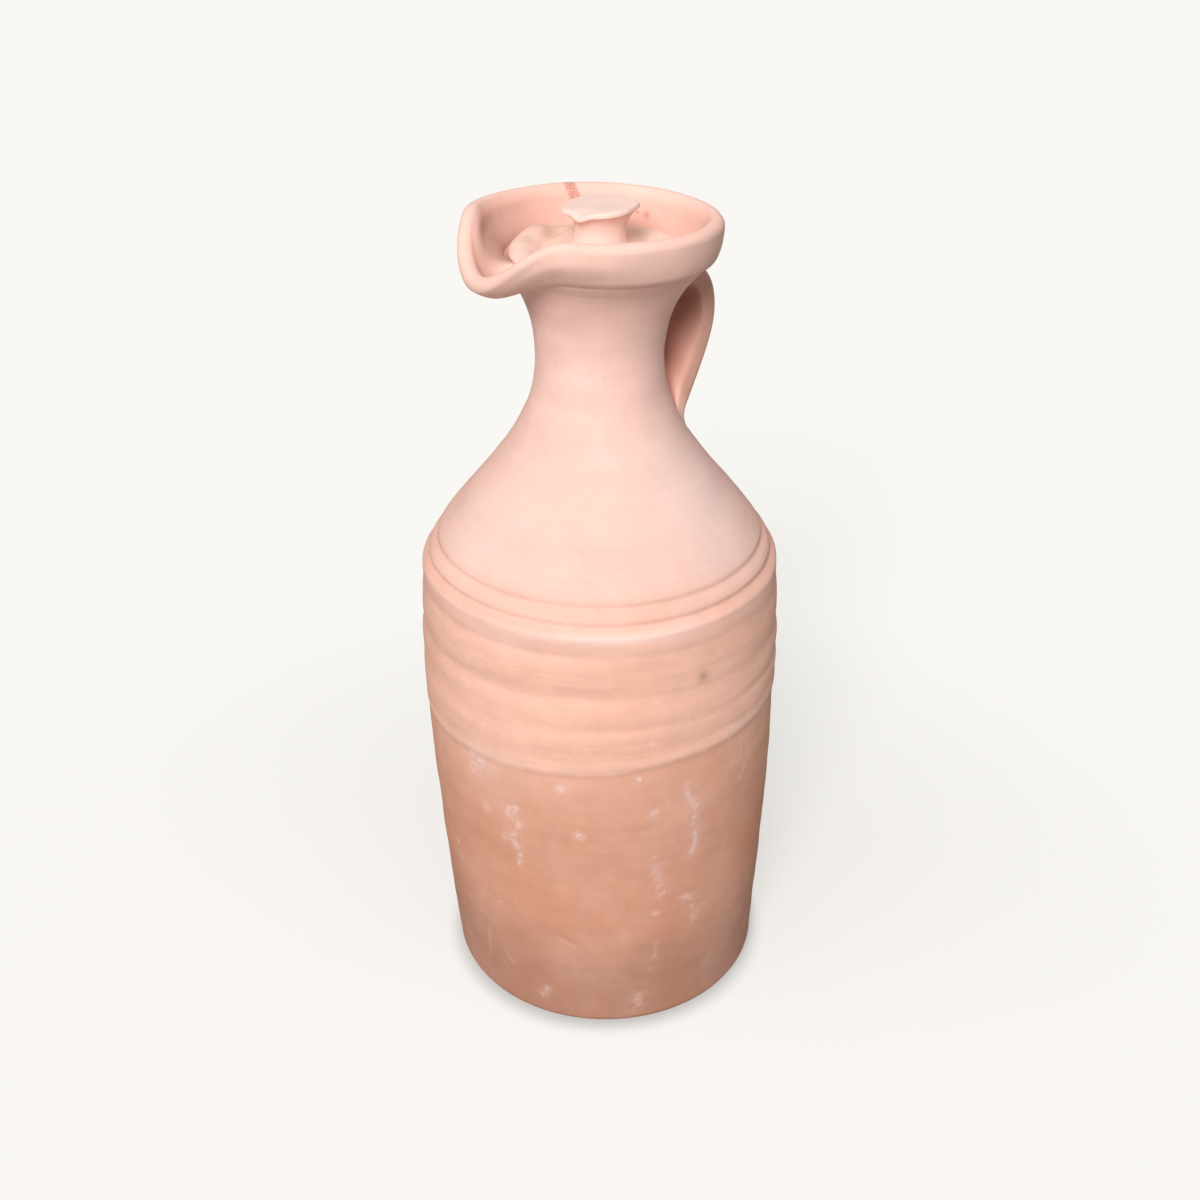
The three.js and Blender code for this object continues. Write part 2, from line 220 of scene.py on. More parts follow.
world = bpy.data.worlds.new("studio")
world.use_nodes = True
sky_tree = world.node_tree
sky_tree.nodes.clear()
towards = node(sky_tree, "ShaderNodeTexCoord").outputs["Generated"]
steepness = node(sky_tree, "ShaderNodeSeparateXYZ", {0: towards}).outputs["Z"]
overhead = maths(sky_tree, "MULTIPLY", maths(sky_tree, "MAXIMUM", steepness, 0.0), SKY_ABOVE)
soft_light = node(sky_tree, "ShaderNodeBackground", {
    "Color": SKY_COLOUR, "Strength": maths(sky_tree, "ADD", overhead, SKY_SIDE),
})
backdrop = node(sky_tree, "ShaderNodeBackground", {"Color": FLOOR_COLOUR, "Strength": BACKDROP})
sky = node(sky_tree, "ShaderNodeMixShader", {
    0: looked_at(sky_tree), 1: soft_light.outputs[0], 2: backdrop.outputs[0],
})
node(sky_tree, "ShaderNodeOutputWorld", {"Surface": sky.outputs[0]})
bpy.context.scene.world = world
print("soft light from overhead:", SKY_SIDE + SKY_ABOVE)

# %% [markdown]
# ## The clay
# All pieces are the same earthenware, but each section dried and fired a little
# differently: the turned base is the darkest, and the shoulder the palest. Towards the foot
# the base grows darker still, partly in its own tone and partly as painted shade. One recipe
# makes every finish, in thin layers as they lie on the real jar: clouds of paler clay, fine
# lines from the wheel, sandy grain and grit, and a chalky bloom where water has carried lime
# through the wall. Image textures could do it too, but layers on Object coordinates stay
# sharp at any size and need no unwrapping.

# %% Tones of the body
# The base grows darker from the trimming line down to the foot: partly the clay's own tone, partly
# painted shade.
FOOT_TONE_AND_SHADE = srgb(186, 133, 110)
BASE_TONE = srgb(215, 153, 125)
LINE_TONE = srgb(232, 174, 148)
BAND_TONE = srgb(244, 189, 166)
EDGE_HIGHLIGHT = srgb(250, 199, 178)   # a painted highlight along the lip above the trimming line
SHOULDER_TONE = srgb(243, 197, 182)
NECK_TONE = srgb(252, 207, 193)
STRIP_TONE = srgb(238, 178, 156)  # between the two incised lines
STRIP_SHARE = 0.45
STRIP_START = (0.2340, 0.2372)    # heights between which a tone goes over into the next
STRIP_END = (0.2455, 0.252)
FOOT_FADE = (0.030, 0.085)
LINE_FADE = (0.112, 0.160)
BAND_FADE = (0.217, 0.245)
NECK_FADE = (0.285, 0.325)
TONE_DRIFT = 0.03                 # how far these heights wander
LINE_HEIGHT = 0.163               # the trimming line, which climbs to one side
LINE_SLOPE = (-0.045, 0.045, 1.0)
LINE_EDGE = (-0.0018, 0.0022)
LINE_UNEVEN = 0.004
EDGE_HIGHLIGHT_SHARE = 0.8
EDGE_HIGHLIGHT_FADE = (0.001, 0.009)
TONE_NOISE = (24,)                # scale, detail and roughness of a layer's noise
SWELL_NOISE = (32, 2)
FRAY_NOISE = (240, 4, 0.6)


def noise(tree, vector, scale, detail=2.0, roughness=0.5):
    made = node(tree, "ShaderNodeTexNoise", {
        "Vector": vector, "Scale": scale, "Detail": detail, "Roughness": roughness,
    })
    return made.outputs["Fac"]


def swinging(tree, value, reach):
    """Noise about its middle, stretched to a reach."""
    return maths(tree, "MULTIPLY", maths(tree, "SUBTRACT", value, 0.5), reach)


def fired_wall(tree, place):
    """Tones of the body from foot to mouth, with an uneven edge along the trimming line.
    The darkening towards the foot is partly painted shade, and the pale lip just above the
    line is a painted highlight.
    """
    level = node(tree, "ShaderNodeVectorMath", {0: place, 1: LINE_SLOPE}, operation="DOT_PRODUCT")
    swell = swinging(tree, noise(tree, place, *SWELL_NOISE), LINE_UNEVEN)
    fray = swinging(tree, noise(tree, place, *FRAY_NOISE), LINE_UNEVEN)
    edge = maths(tree, "ADD", level.outputs["Value"], maths(tree, "ADD", swell, fray))
    above = ramp(tree, edge, *[LINE_HEIGHT + off for off in LINE_EDGE])
    upright = node(tree, "ShaderNodeSeparateXYZ", {0: place}).outputs["Z"]
    height = maths(tree, "ADD", upright, swinging(tree, noise(tree, place, *TONE_NOISE), TONE_DRIFT))
    below_tone = mixed(tree, ramp(tree, height, *FOOT_FADE), FOOT_TONE_AND_SHADE, BASE_TONE)
    below_tone = mixed(tree, ramp(tree, height, *LINE_FADE), below_tone, LINE_TONE)
    above_tone = mixed(tree, ramp(tree, height, *BAND_FADE), BAND_TONE, SHOULDER_TONE)
    above_tone = mixed(tree, ramp(tree, height, *NECK_FADE), above_tone, NECK_TONE)
    strip = maths(tree, "MULTIPLY", ramp(tree, upright, *STRIP_START),
                  ramp(tree, upright, *STRIP_END, STRIP_SHARE, 0.0))
    above_tone = mixed(tree, strip, above_tone, STRIP_TONE)
    # A painted highlight along the lip just above the trimming line.
    lip = ramp(tree, edge, *[LINE_HEIGHT + off for off in EDGE_HIGHLIGHT_FADE], EDGE_HIGHLIGHT_SHARE, 0.0)
    above_tone = mixed(tree, lip, above_tone, EDGE_HIGHLIGHT)
    return mixed(tree, above, below_tone, above_tone)


print("the trimming line lies at", LINE_HEIGHT)

# %% Layers of the clay
ROOT_TONE = srgb(244, 198, 183)   # where a piece is smeared on to the neck
CLOUD_COLOUR = srgb(250, 212, 198)
LIME_COLOUR = srgb(246, 216, 211)
# The next colour is also that of the painted highlights on the bead and the shoulder.
CHALK_AND_HIGHLIGHT_COLOUR = srgb(252, 228, 221)
GRIT_COLOUR = srgb(164, 104, 82)
STAIN_COLOUR = srgb(186, 96, 82)
SMUDGE_COLOUR = srgb(150, 122, 112)
# The next colour is painted shade, for the inside of the mouth and the strap's loop.
PAINTED_SHADE_COLOUR = srgb(160, 112, 98)
DUST_COLOUR = srgb(216, 180, 160)
WHEEL_SHADE = 0.085               # lightest and darkest share of brightness from each layer
FINE_LINES = 0.35                 # of that, shares of the fine and the broad lines
BROAD_LINES = 0.65
MOTTLE_SHADE = 0.035
GRAIN_SHADE = 0.03
NOISE_SPAN = (0.3, 0.7)           # most of a noise lies in this span
LINE_STRETCH = (5, 5, 420)        # wheel lines are long round the wall and thin across it
LINE_NOISE = (1.0, 3, 0.6)
BAND_STRETCH = (9, 9, 80)
BAND_NOISE = (1.0, 2, 0.5)
MOTTLE_NOISE = (85, 4, 0.6)
GRAIN_NOISE = (1300, 2, 0.6)
GRIT_SCALE = 210.0
GRIT_CHOSEN = (0.86, 0.9)         # only cells above this hold a grain of grit
GRIT_SIZE = (0.05, 0.14)
GRIT_SHARE = 0.18
HAZE_STRETCH = (1, 1, 0.5)        # chalky haze
HAZE_NOISE = (30, 5, 0.6)
HAZE_SPAN = (0.5, 0.8)
RAGGED_NOISE = (300, 5, 0.7)      # edges of the lime: noise, its span and what is left of the lime
RAGGED = (0.36, 0.64, 0.2, 1.35)
SPECKLE_NOISE = (900, 3, 0.7)     # and the same for stains
SPECKLED = (0.3, 0.6, 0.45, 1.0)


def stretched(tree, vector, scale):
    made = node(tree, "ShaderNodeMapping", {"Vector": vector, "Scale": scale})
    return made.outputs["Vector"]


def attribute(tree, name):
    return node(tree, "ShaderNodeAttribute", attribute_name=name).outputs["Fac"]


def wheel_and_grain(tree, place, wheel_lines):
    """Lines from the wheel and grain, and how much they brighten or darken the clay."""
    lines = noise(tree, stretched(tree, place, LINE_STRETCH), *LINE_NOISE)
    bands = noise(tree, stretched(tree, place, BAND_STRETCH), *BAND_NOISE)
    line_tone = maths(tree, "ADD", ramp(tree, lines, *NOISE_SPAN, -FINE_LINES, FINE_LINES),
                      ramp(tree, bands, *NOISE_SPAN, -BROAD_LINES, BROAD_LINES))
    shade = maths(tree, "MULTIPLY", line_tone, WHEEL_SHADE * wheel_lines)
    mottle = ramp(tree, noise(tree, place, *MOTTLE_NOISE), *NOISE_SPAN, -MOTTLE_SHADE, MOTTLE_SHADE)
    grain = noise(tree, place, *GRAIN_NOISE)
    grain_tone = ramp(tree, grain, *NOISE_SPAN, -GRAIN_SHADE, GRAIN_SHADE)
    bright = maths(tree, "ADD", maths(tree, "ADD", shade, mottle), maths(tree, "ADD", grain_tone, 1.0))
    return lines, grain, bright


def gritty(tree, place, colour):
    """Scattered grains of grit."""
    grit = node(tree, "ShaderNodeTexVoronoi", {"Vector": place, "Scale": GRIT_SCALE, "Randomness": 1.0})
    lot = node(tree, "ShaderNodeSeparateColor", {0: grit.outputs["Color"]}).outputs[0]
    chosen = ramp(tree, lot, *GRIT_CHOSEN)
    speck = ramp(tree, grit.outputs["Distance"], *GRIT_SIZE, 1.0, 0.0)
    share = maths(tree, "MULTIPLY", maths(tree, "MULTIPLY", chosen, speck), GRIT_SHARE)
    return mixed(tree, share, colour, GRIT_COLOUR)


def with_marks(tree, place, colour, bloom):
    """Lime, pale chalky patches and painted highlights, stains, painted shade and dust, where the
    attributes of a piece put them.
    """
    haze = ramp(tree, noise(tree, stretched(tree, place, HAZE_STRETCH), *HAZE_NOISE), *HAZE_SPAN)
    ragged = ramp(tree, noise(tree, place, *RAGGED_NOISE), *RAGGED)
    lime = maths(tree, "MULTIPLY", attribute(tree, "lime"), ragged)
    lime = maths(tree, "MAXIMUM", maths(tree, "MULTIPLY", haze, bloom), lime)
    speckle = ramp(tree, noise(tree, place, *SPECKLE_NOISE), *SPECKLED)
    stain = maths(tree, "MULTIPLY", attribute(tree, "stain"), speckle)
    colour = mixed(tree, lime, colour, LIME_COLOUR)
    # Pale chalky patches, and painted highlights on the bead and the shoulder.
    colour = mixed(tree, attribute(tree, "chalk_and_highlight"), colour, CHALK_AND_HIGHLIGHT_COLOUR)
    colour = mixed(tree, stain, colour, STAIN_COLOUR)
    colour = mixed(tree, attribute(tree, "smudge"), colour, SMUDGE_COLOUR)
    # Painted shade inside the mouth and in the strap's loop.
    colour = mixed(tree, attribute(tree, "damp"), colour, PAINTED_SHADE_COLOUR)
    return mixed(tree, attribute(tree, "dust"), colour, DUST_COLOUR)


print("cells that may hold grit are about", 1 / GRIT_SCALE, "wide")

# %% Clay recipe
CLOUD_NOISE = (17, 4, 0.55)
CLOUD_SPAN = (0.34, 0.66)
CLOUD_SHARE = 0.16
ROUGH_NOISE = (90, 3, 0.6)
ROUGHNESS = (0.8, 0.93)
LINE_RELIEF = 0.6
GRAIN_RELIEF = 0.5
BUMP_STRENGTH = 0.25
BUMP_DISTANCE = 0.0003
GLOSS = 0.2


def clay(name, tone=None, wheel_lines=0.5, bloom=0.1):
    """Unglazed earthenware. tone is its colour, or that of the body's wall if there is none,
    wheel_lines the strength of the lines from the wheel, and bloom the share of chalky haze."""
    material, tree, output = new_material(name)
    place = node(tree, "ShaderNodeTexCoord").outputs["Object"]
    plain = mixed(tree, attribute(tree, "root"), tone, ROOT_TONE) if tone else fired_wall(tree, place)
    clouds = ramp(tree, noise(tree, place, *CLOUD_NOISE), *CLOUD_SPAN)
    colour = mixed(tree, maths(tree, "MULTIPLY", clouds, CLOUD_SHARE), plain, CLOUD_COLOUR)
    lines, grain, bright = wheel_and_grain(tree, place, wheel_lines)
    grey = node(tree, "ShaderNodeCombineColor", {0: bright, 1: bright, 2: bright}).outputs[0]
    colour = mixed(tree, 1.0, colour, grey, "MULTIPLY")
    colour = with_marks(tree, place, gritty(tree, place, colour), bloom)
    rough = ramp(tree, noise(tree, place, *ROUGH_NOISE), *NOISE_SPAN, *ROUGHNESS)
    relief = maths(tree, "ADD", maths(tree, "MULTIPLY", lines, LINE_RELIEF * wheel_lines),
                   maths(tree, "MULTIPLY", grain, GRAIN_RELIEF))
    bump = node(tree, "ShaderNodeBump", {
        "Height": relief, "Strength": BUMP_STRENGTH, "Distance": BUMP_DISTANCE,
    })
    shader = node(tree, "ShaderNodeBsdfPrincipled", {
        "Base Color": colour, "Roughness": rough, "Normal": bump.outputs["Normal"],
        "Specular IOR Level": GLOSS,
    })
    tree.links.new(shader.outputs[0], output.inputs["Surface"])
    return material


print("the clay's roughness lies between", *ROUGHNESS)

# %% Seven finishes
turned_clay = clay("turned clay", wheel_lines=0.2)
ringed_clay = clay("ringed clay", wheel_lines=0.95)
pale_clay = clay("pale clay", wheel_lines=0.5)
collar_clay = clay("collar clay", srgb(250, 204, 189), 0.3)
handle_clay = clay("handle clay", srgb(213, 159, 141), 0.25)
lid_clay = clay("lid clay", srgb(246, 209, 194), 0.3)
knob_clay = clay("knob clay", srgb(249, 216, 204), 0.3)
print("finishes:", [m.name for m in bpy.data.materials if "clay" in m.name])

# %% [markdown]
# ## Throwing on the wheel
# Most of the jar is thrown: a half section turned about the axis. A Screw modifier or a
# bmesh spin would turn it, but thrown clay is never quite round, and its rings wander.
# A Geometry Nodes tree does both in one rule: it takes the section as a chain of points,
# lays a grid over it and the turn, and pushes the outside in and out by a little noise.
# Attributes of the section say where. skin is 1 where the surface may wobble, and loose is 1
# where rings may drift up and down. ring is how far a ring stands out, which comes and goes
# round the wall. drawn is another place for each point, for a rim that is later drawn out of
# round. The result is made a plain mesh before it stands for a node of the CAD model.

# %% The wheel's node tree
TURNED_INPUTS = (
    ("Section", "NodeSocketGeometry"),
    ("Segments", "NodeSocketInt"),
    ("Wobble", "NodeSocketFloat"),
    ("Wobble Scale", "NodeSocketFloat"),
    ("Ripple", "NodeSocketFloat"),
    ("Ripple Scale", "NodeSocketFloat"),
    ("Drift", "NodeSocketFloat"),
    ("Seed", "NodeSocketFloat"),
    ("Material", "NodeSocketMaterial"),
)
SWING_SPAN = (0.2, 0.8)
RING_FADE_SCALE = 11.0            # noise that lets the rings come and go round the wall
RING_FADE = (-0.5, 0.5)
RING_FAINTEST = 0.3
DRIFT_SCALE = 9.0
RIPPLE_STRETCH = (0.25, 0.25, 1.0)
MERGE_DISTANCE = 1e-6


def wheel_tree():
    tree = bpy.data.node_groups.new("Thrown clay", "GeometryNodeTree")
    for name, kind in TURNED_INPUTS:
        tree.interface.new_socket(name=name, in_out="INPUT", socket_type=kind)
    tree.interface.new_socket(name="Clay", in_out="OUTPUT", socket_type="NodeSocketGeometry")
    given = node(tree, "NodeGroupInput").outputs

    def whole_maths(operation, first, second):
        made = node(tree, "FunctionNodeIntegerMath", {0: first, 1: second}, operation=operation)
        return made.outputs[0]

    points = node(tree, "GeometryNodeAttributeDomainSize", {0: given["Section"]}).outputs["Point Count"]
    columns = whole_maths("ADD", given["Segments"], 1)
    grid = node(tree, "GeometryNodeMeshGrid", {
        "Size X": 1.0, "Size Y": 1.0, "Vertices X": points, "Vertices Y": columns,
    }).outputs["Mesh"]
    index = node(tree, "GeometryNodeInputIndex").outputs[0]
    row = whole_maths("DIVIDE_FLOOR", index, columns)
    column = whole_maths("MODULO", index, columns)
    turn = maths(tree, "MULTIPLY", maths(tree, "DIVIDE", column, given["Segments"]), 2 * math.pi)

    def sampled(kind, value):
        made = node(tree, "GeometryNodeSampleIndex", data_type=kind, domain="POINT")
        tree.links.new(given["Section"], made.inputs["Geometry"])
        tree.links.new(value, made.inputs["Value"])
        tree.links.new(row, made.inputs["Index"])
        return made.outputs["Value"]

    def of_section(name, kind="FLOAT"):
        made = node(tree, "GeometryNodeInputNamedAttribute", {"Name": name}, data_type=kind)
        return sampled(kind, made.outputs["Attribute"])

    def turned(vector):
        made = node(tree, "ShaderNodeVectorRotate", {"Vector": vector, "Angle": turn},
                    rotation_type="Z_AXIS")
        return made.outputs[0]

    def swing(vector, scale):
        """Noise from about -1 to 1."""
        made = node(tree, "ShaderNodeTexNoise", {
            "Vector": vector, "W": given["Seed"], "Scale": scale, "Detail": 2.0,
        }, noise_dimensions="4D")
        return ramp(tree, made.outputs["Fac"], *SWING_SPAN, -1.0, 1.0)

    section_point = sampled("FLOAT_VECTOR", node(tree, "GeometryNodeInputPosition").outputs[0])
    round_point = turned(section_point)
    outwards = turned((1.0, 0.0, 0.0))
    flattened = node(tree, "ShaderNodeVectorMath", {0: round_point, 1: RIPPLE_STRETCH},
                     operation="MULTIPLY").outputs[0]
    wobble = maths(tree, "MULTIPLY", swing(round_point, given["Wobble Scale"]), given["Wobble"])
    ripple = maths(tree, "MULTIPLY", swing(flattened, given["Ripple Scale"]), given["Ripple"])
    fade = ramp(tree, swing(round_point, RING_FADE_SCALE), *RING_FADE, RING_FAINTEST, 1.0)
    ring = maths(tree, "MULTIPLY", of_section("ring"), fade)
    uneven = maths(tree, "MULTIPLY", maths(tree, "ADD", wobble, ripple), of_section("skin"))
    push = maths(tree, "ADD", ring, uneven)
    drift = maths(tree, "MULTIPLY", swing(round_point, DRIFT_SCALE), given["Drift"])
    rise = maths(tree, "MULTIPLY", drift, of_section("loose"))
    pushed = node(tree, "ShaderNodeVectorMath", {0: outwards, "Scale": push},
                  operation="SCALE").outputs[0]
    lifted = node(tree, "ShaderNodeCombineXYZ", {"Z": rise}).outputs[0]
    moved = node(tree, "ShaderNodeVectorMath", {0: pushed, 1: lifted}, operation="ADD").outputs[0]

    marked = node(tree, "GeometryNodeStoreNamedAttribute", {
        "Geometry": grid, "Name": "drawn", "Value": of_section("drawn", "FLOAT_VECTOR"),
    }, data_type="FLOAT_VECTOR", domain="POINT").outputs[0]
    placed = node(tree, "GeometryNodeSetPosition", {
        "Geometry": marked, "Position": round_point, "Offset": moved,
    }).outputs[0]
    closed = node(tree, "GeometryNodeMergeByDistance", {
        "Geometry": placed, "Distance": MERGE_DISTANCE,
    }).outputs[0]
    outward = node(tree, "GeometryNodeFlipFaces", {"Mesh": closed}).outputs[0]
    smooth = node(tree, "GeometryNodeSetShadeSmooth", {"Geometry": outward}).outputs[0]
    real = node(tree, "GeometryNodeRealizeInstances", {"Geometry": smooth}).outputs[0]
    fired = node(tree, "GeometryNodeSetMaterial", {"Geometry": real, "Material": given["Material"]})
    node(tree, "NodeGroupOutput", {"Clay": fired.outputs[0]})
    return tree


thrown = wheel_tree()
thrown_socket = {item.name: item.identifier
                 for item in thrown.interface.items_tree if item.in_out == "INPUT"}
print("wheel tree inputs:", list(thrown_socket))


# %% Turning one section
def paint(mesh, name, values):
    """Writes a number on each point of a mesh, for nodes to read."""
    layer = mesh.attributes.new(name, "FLOAT", "POINT")
    layer.data.foreach_set("value", values.astype(np.float32))


AT_REST = {"Wobble": 0.0, "Wobble Scale": 14.0, "Ripple": 0.0, "Ripple Scale": 60.0, "Drift": 0.0,
           "Seed": 3.0}


def chain(parts):
    """Joins stretches of a section, each given as (points, skin, loose), into one chain."""
    points = np.vstack([np.atleast_2d(p) for p, _, _ in parts])
    skin = np.concatenate([np.broadcast_to(s, len(np.atleast_2d(p))) for p, s, _ in parts])
    loose = np.concatenate([np.broadcast_to(d, len(np.atleast_2d(p))) for p, _, d in parts])
    return points, skin, loose


def throw(name, parts, material, segments, drawn=None, rings=None, **amounts):
    """Turns a section on the wheel and returns the piece with a plain mesh."""
    points, skin, loose = chain(parts)
    ring = skin * rings(points[:, 1]) if rings else 0 * skin
    blank = bpy.data.meshes.new(name + "_section")
    edges = [(i, i + 1) for i in range(len(points) - 1)]
    blank.from_pydata([(r, 0.0, z) for r, z in points], edges, [])
    for label, values in (("skin", skin), ("loose", loose), ("ring", ring)):
        paint(blank, label, values)
    second = points if drawn is None else drawn
    flat = np.column_stack([second[:, 0], np.zeros(len(second)), second[:, 1]])
    blank.attributes.new("drawn", "FLOAT_VECTOR", "POINT").data.foreach_set("vector", flat.ravel())
    wheel = bpy.data.objects.new(name + "_wheel", blank)
    bpy.context.scene.collection.objects.link(wheel)
    modifier = wheel.modifiers.new("Thrown clay", "NODES")
    modifier.node_group = thrown
    settings = {"Segments": segments, "Material": material, **AT_REST, **amounts}
    for key, value in settings.items():
        modifier[thrown_socket[key]] = value
    evaluated = wheel.evaluated_get(bpy.context.evaluated_depsgraph_get())
    mesh = bpy.data.meshes.new_from_object(evaluated)
    mesh.name = name
    bpy.data.objects.remove(wheel)
    bpy.data.meshes.remove(blank)
    piece = bpy.data.objects.new(name, mesh)
    bpy.context.scene.collection.objects.link(piece)
    print(name, "has", len(mesh.polygons), "faces")
    return piece


print("an even section has", AT_REST)

# %% Reshaping and placing a piece
HARD_EDGE = math.radians(50)


def corners_of(piece):
    """A piece's points as an array that can be reshaped."""
    flat = np.zeros(len(piece.data.vertices) * 3)
    piece.data.vertices.foreach_get("co", flat)
    return flat.reshape(-1, 3)


def reshape(piece, points):
    piece.data.vertices.foreach_set("co", points.ravel())
    piece.data.update()


def stand_for(piece, cad_node, body):
    """The piece replaces a CAD node and rides on its body."""
    if "drawn" in piece.data.attributes:
        piece.data.attributes.remove(piece.data.attributes["drawn"])
    piece.data.set_sharp_from_angle(angle=HARD_EDGE)
    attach(piece, body)
    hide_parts(cad_node)
    print(piece.name, "stands for", cad_node)


# %% [markdown]
# ## The jar's outline
# The outline is drawn with the same few curves as the CAD model, so a piece made here
# lies where its node lies. Bezier curves by repeated halving are enough: a bowed cone for
# the turned base, a slight draw-in above, an S-curve over the shoulder and a flare at the top.

# %% Outline values
FOOT_RADIUS = 0.073
HEEL_ROUND = 0.0065
FLOOR_THICKNESS = 0.011
FLOOR_FILLET = 0.009
WALL_THICKNESS = 0.0075
BELLY_RADIUS = 0.0869
WALL_BOW = 0.0011
TURNED_STEP = 0.0007
UPPER_TAPER = 0.0027
SHOULDER_LEAN = math.radians(26)
SHOULDER_REACH = 0.035
SHOULDER_RISE = 0.098
NECK_REACH = 0.040
NECK_RADIUS = 0.0287
NECK_TOP_RADIUS = 0.048
FLARE_DROP = 0.016
LUTE_GAP = 0.0003
GROOVE_RISE = 0.006
GROOVE_SPACING = 0.007
NECK_RISE = 0.045
COLLAR_DROP = 0.0055
MOUTH_LEAN = math.radians(2.3)

WALL_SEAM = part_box("upper_body")[0].z - LUTE_GAP
SHOULDER_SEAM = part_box("shoulder_neck")[0].z - LUTE_GAP
SHOULDER_EDGE = SHOULDER_SEAM - GROOVE_RISE
NECK_WAIST = SHOULDER_EDGE + SHOULDER_RISE
CREASE = NECK_WAIST + NECK_RISE
COLLAR_SEAM = CREASE - COLLAR_DROP
print("seams at", WALL_SEAM, SHOULDER_SEAM, COLLAR_SEAM)


# %% Outline curves
def bezier(*corners, steps=40):
    """Points along a Bezier curve, by repeated linear mixing of its corners."""
    share = np.linspace(0, 1, steps + 1)[:, None]
    layers = [np.array(c, float)[None] * np.ones_like(share) for c in corners]
    while len(layers) > 1:
        layers = [a * (1 - share) + b * share for a, b in zip(layers, layers[1:])]
    return layers[0]


def quarter(centre, radius, start, steps):
    """A quarter round about a centre, anticlockwise from a start angle in degrees."""
    turn = np.radians(np.linspace(start, start + 90, steps + 1))
    return np.column_stack([centre[0] + radius * np.cos(turn), centre[1] + radius * np.sin(turn)])


wall_foot = (FOOT_RADIUS + HEEL_ROUND, HEEL_ROUND)
wall_top = (BELLY_RADIUS - TURNED_STEP, WALL_SEAM)
wall_middle = ((wall_foot[0] + wall_top[0]) / 2 + 2 * WALL_BOW, (wall_foot[1] + wall_top[1]) / 2)
shoulder_start = (BELLY_RADIUS - UPPER_TAPER, SHOULDER_EDGE)
shoulder_run = (
    shoulder_start[0] - SHOULDER_REACH * math.sin(SHOULDER_LEAN),
    shoulder_start[1] + SHOULDER_REACH * math.cos(SHOULDER_LEAN),
)
lower_wall = bezier(wall_foot, wall_middle, wall_top)
belly = (BELLY_RADIUS, WALL_SEAM)
belly_run = (BELLY_RADIUS, (WALL_SEAM + SHOULDER_EDGE) / 2)
waist = (NECK_RADIUS, NECK_WAIST)
upper_wall = bezier(belly, belly_run, shoulder_start)
shoulder = bezier(shoulder_start, shoulder_run, (NECK_RADIUS, NECK_WAIST - NECK_REACH), waist)
flare = bezier(waist, (NECK_RADIUS, CREASE - FLARE_DROP), (NECK_TOP_RADIUS, CREASE))
above_seam = np.vstack([upper_wall, shoulder[1:], flare[1:]])
whole = np.vstack([lower_wall[:-1], above_seam])
along = np.gradient(whole, axis=0)
along /= np.linalg.norm(along, axis=1)[:, None]
inner_line = whole + WALL_THICKNESS * np.column_stack([-along[:, 1], along[:, 0]])


def on_line(line, heights):
    """Points of a rising line at the given heights."""
    return np.column_stack([np.interp(heights, line[:, 1], line[:, 0]), heights])


def inside_wall(high, low, step=0.006):
    count = max(2, round((high - low) / step))
    return on_line(inner_line, np.linspace(high, low, count + 1))


print("outline has", len(whole), "points")

# %% [markdown]
# ## Turned base
# The lower wall was trimmed on the wheel when leather-hard, which leaves it smooth, a little
# thinner than the wall above, and darker. The trimming stopped along a line that climbs
# to one side, and the foot stands a little off the axis. Modelling each wall by itself would
# open the seam between them, so both are moved by one rule, after they are turned.

# %% Seam that climbs and foot that stands off the axis
SEAM_CLIMB = 0.0055
SEAM_CLIMB_TOWARDS = math.radians(315)
SEAM_CLIMB_REACH = 0.060
FOOT_SHIFT = np.array([0.0025, -0.0018])
FOOT_SHIFT_BELOW = 0.19
FOOT_SHIFT_POWER = 1.4


def smooth_step(values, low, high):
    share = np.clip((values - low) / (high - low), 0, 1)
    return share * share * (3 - 2 * share)


def settle(points):
    """Tilts the trimming line to one side, and lets the wall lean out a little to the foot."""
    turn = np.arctan2(points[:, 1], points[:, 0])
    near = np.exp(-((points[:, 2] - WALL_SEAM) / (SEAM_CLIMB_REACH / 2)) ** 2)
    settled = points.copy()
    settled[:, 2] += SEAM_CLIMB * np.cos(turn - SEAM_CLIMB_TOWARDS) * near
    low = np.clip(1 - settled[:, 2] / FOOT_SHIFT_BELOW, 0, 1) ** FOOT_SHIFT_POWER
    settled[:, :2] += low[:, None] * FOOT_SHIFT
    return settled


print("foot stands", np.linalg.norm(FOOT_SHIFT), "off the axis")

# %% Turned base
BODY_SEGMENTS = 520
BODY_WOBBLE = {"Wobble": 0.0005, "Wobble Scale": 13.0, "Ripple": 0.00022, "Ripple Scale": 75.0}
BASE_ROWS = 128
BASE_ROWS_END = 0.004             # below the seam, where the rows of the step take over
STEP_ROWS = np.linspace(0.0033, 0, 6)
STEP_REACH = 0.0022               # the step at the trimming line is soft
STEADY_HEEL = 0.02                # the wall wobbles less and less below this height
HEEL_WOBBLE = 0.2
FOOT_RING = 0.6                   # a ring on the flat foot, as a share of its radius
INSIDE_START = 0.002              # the first row of the inside below a seam

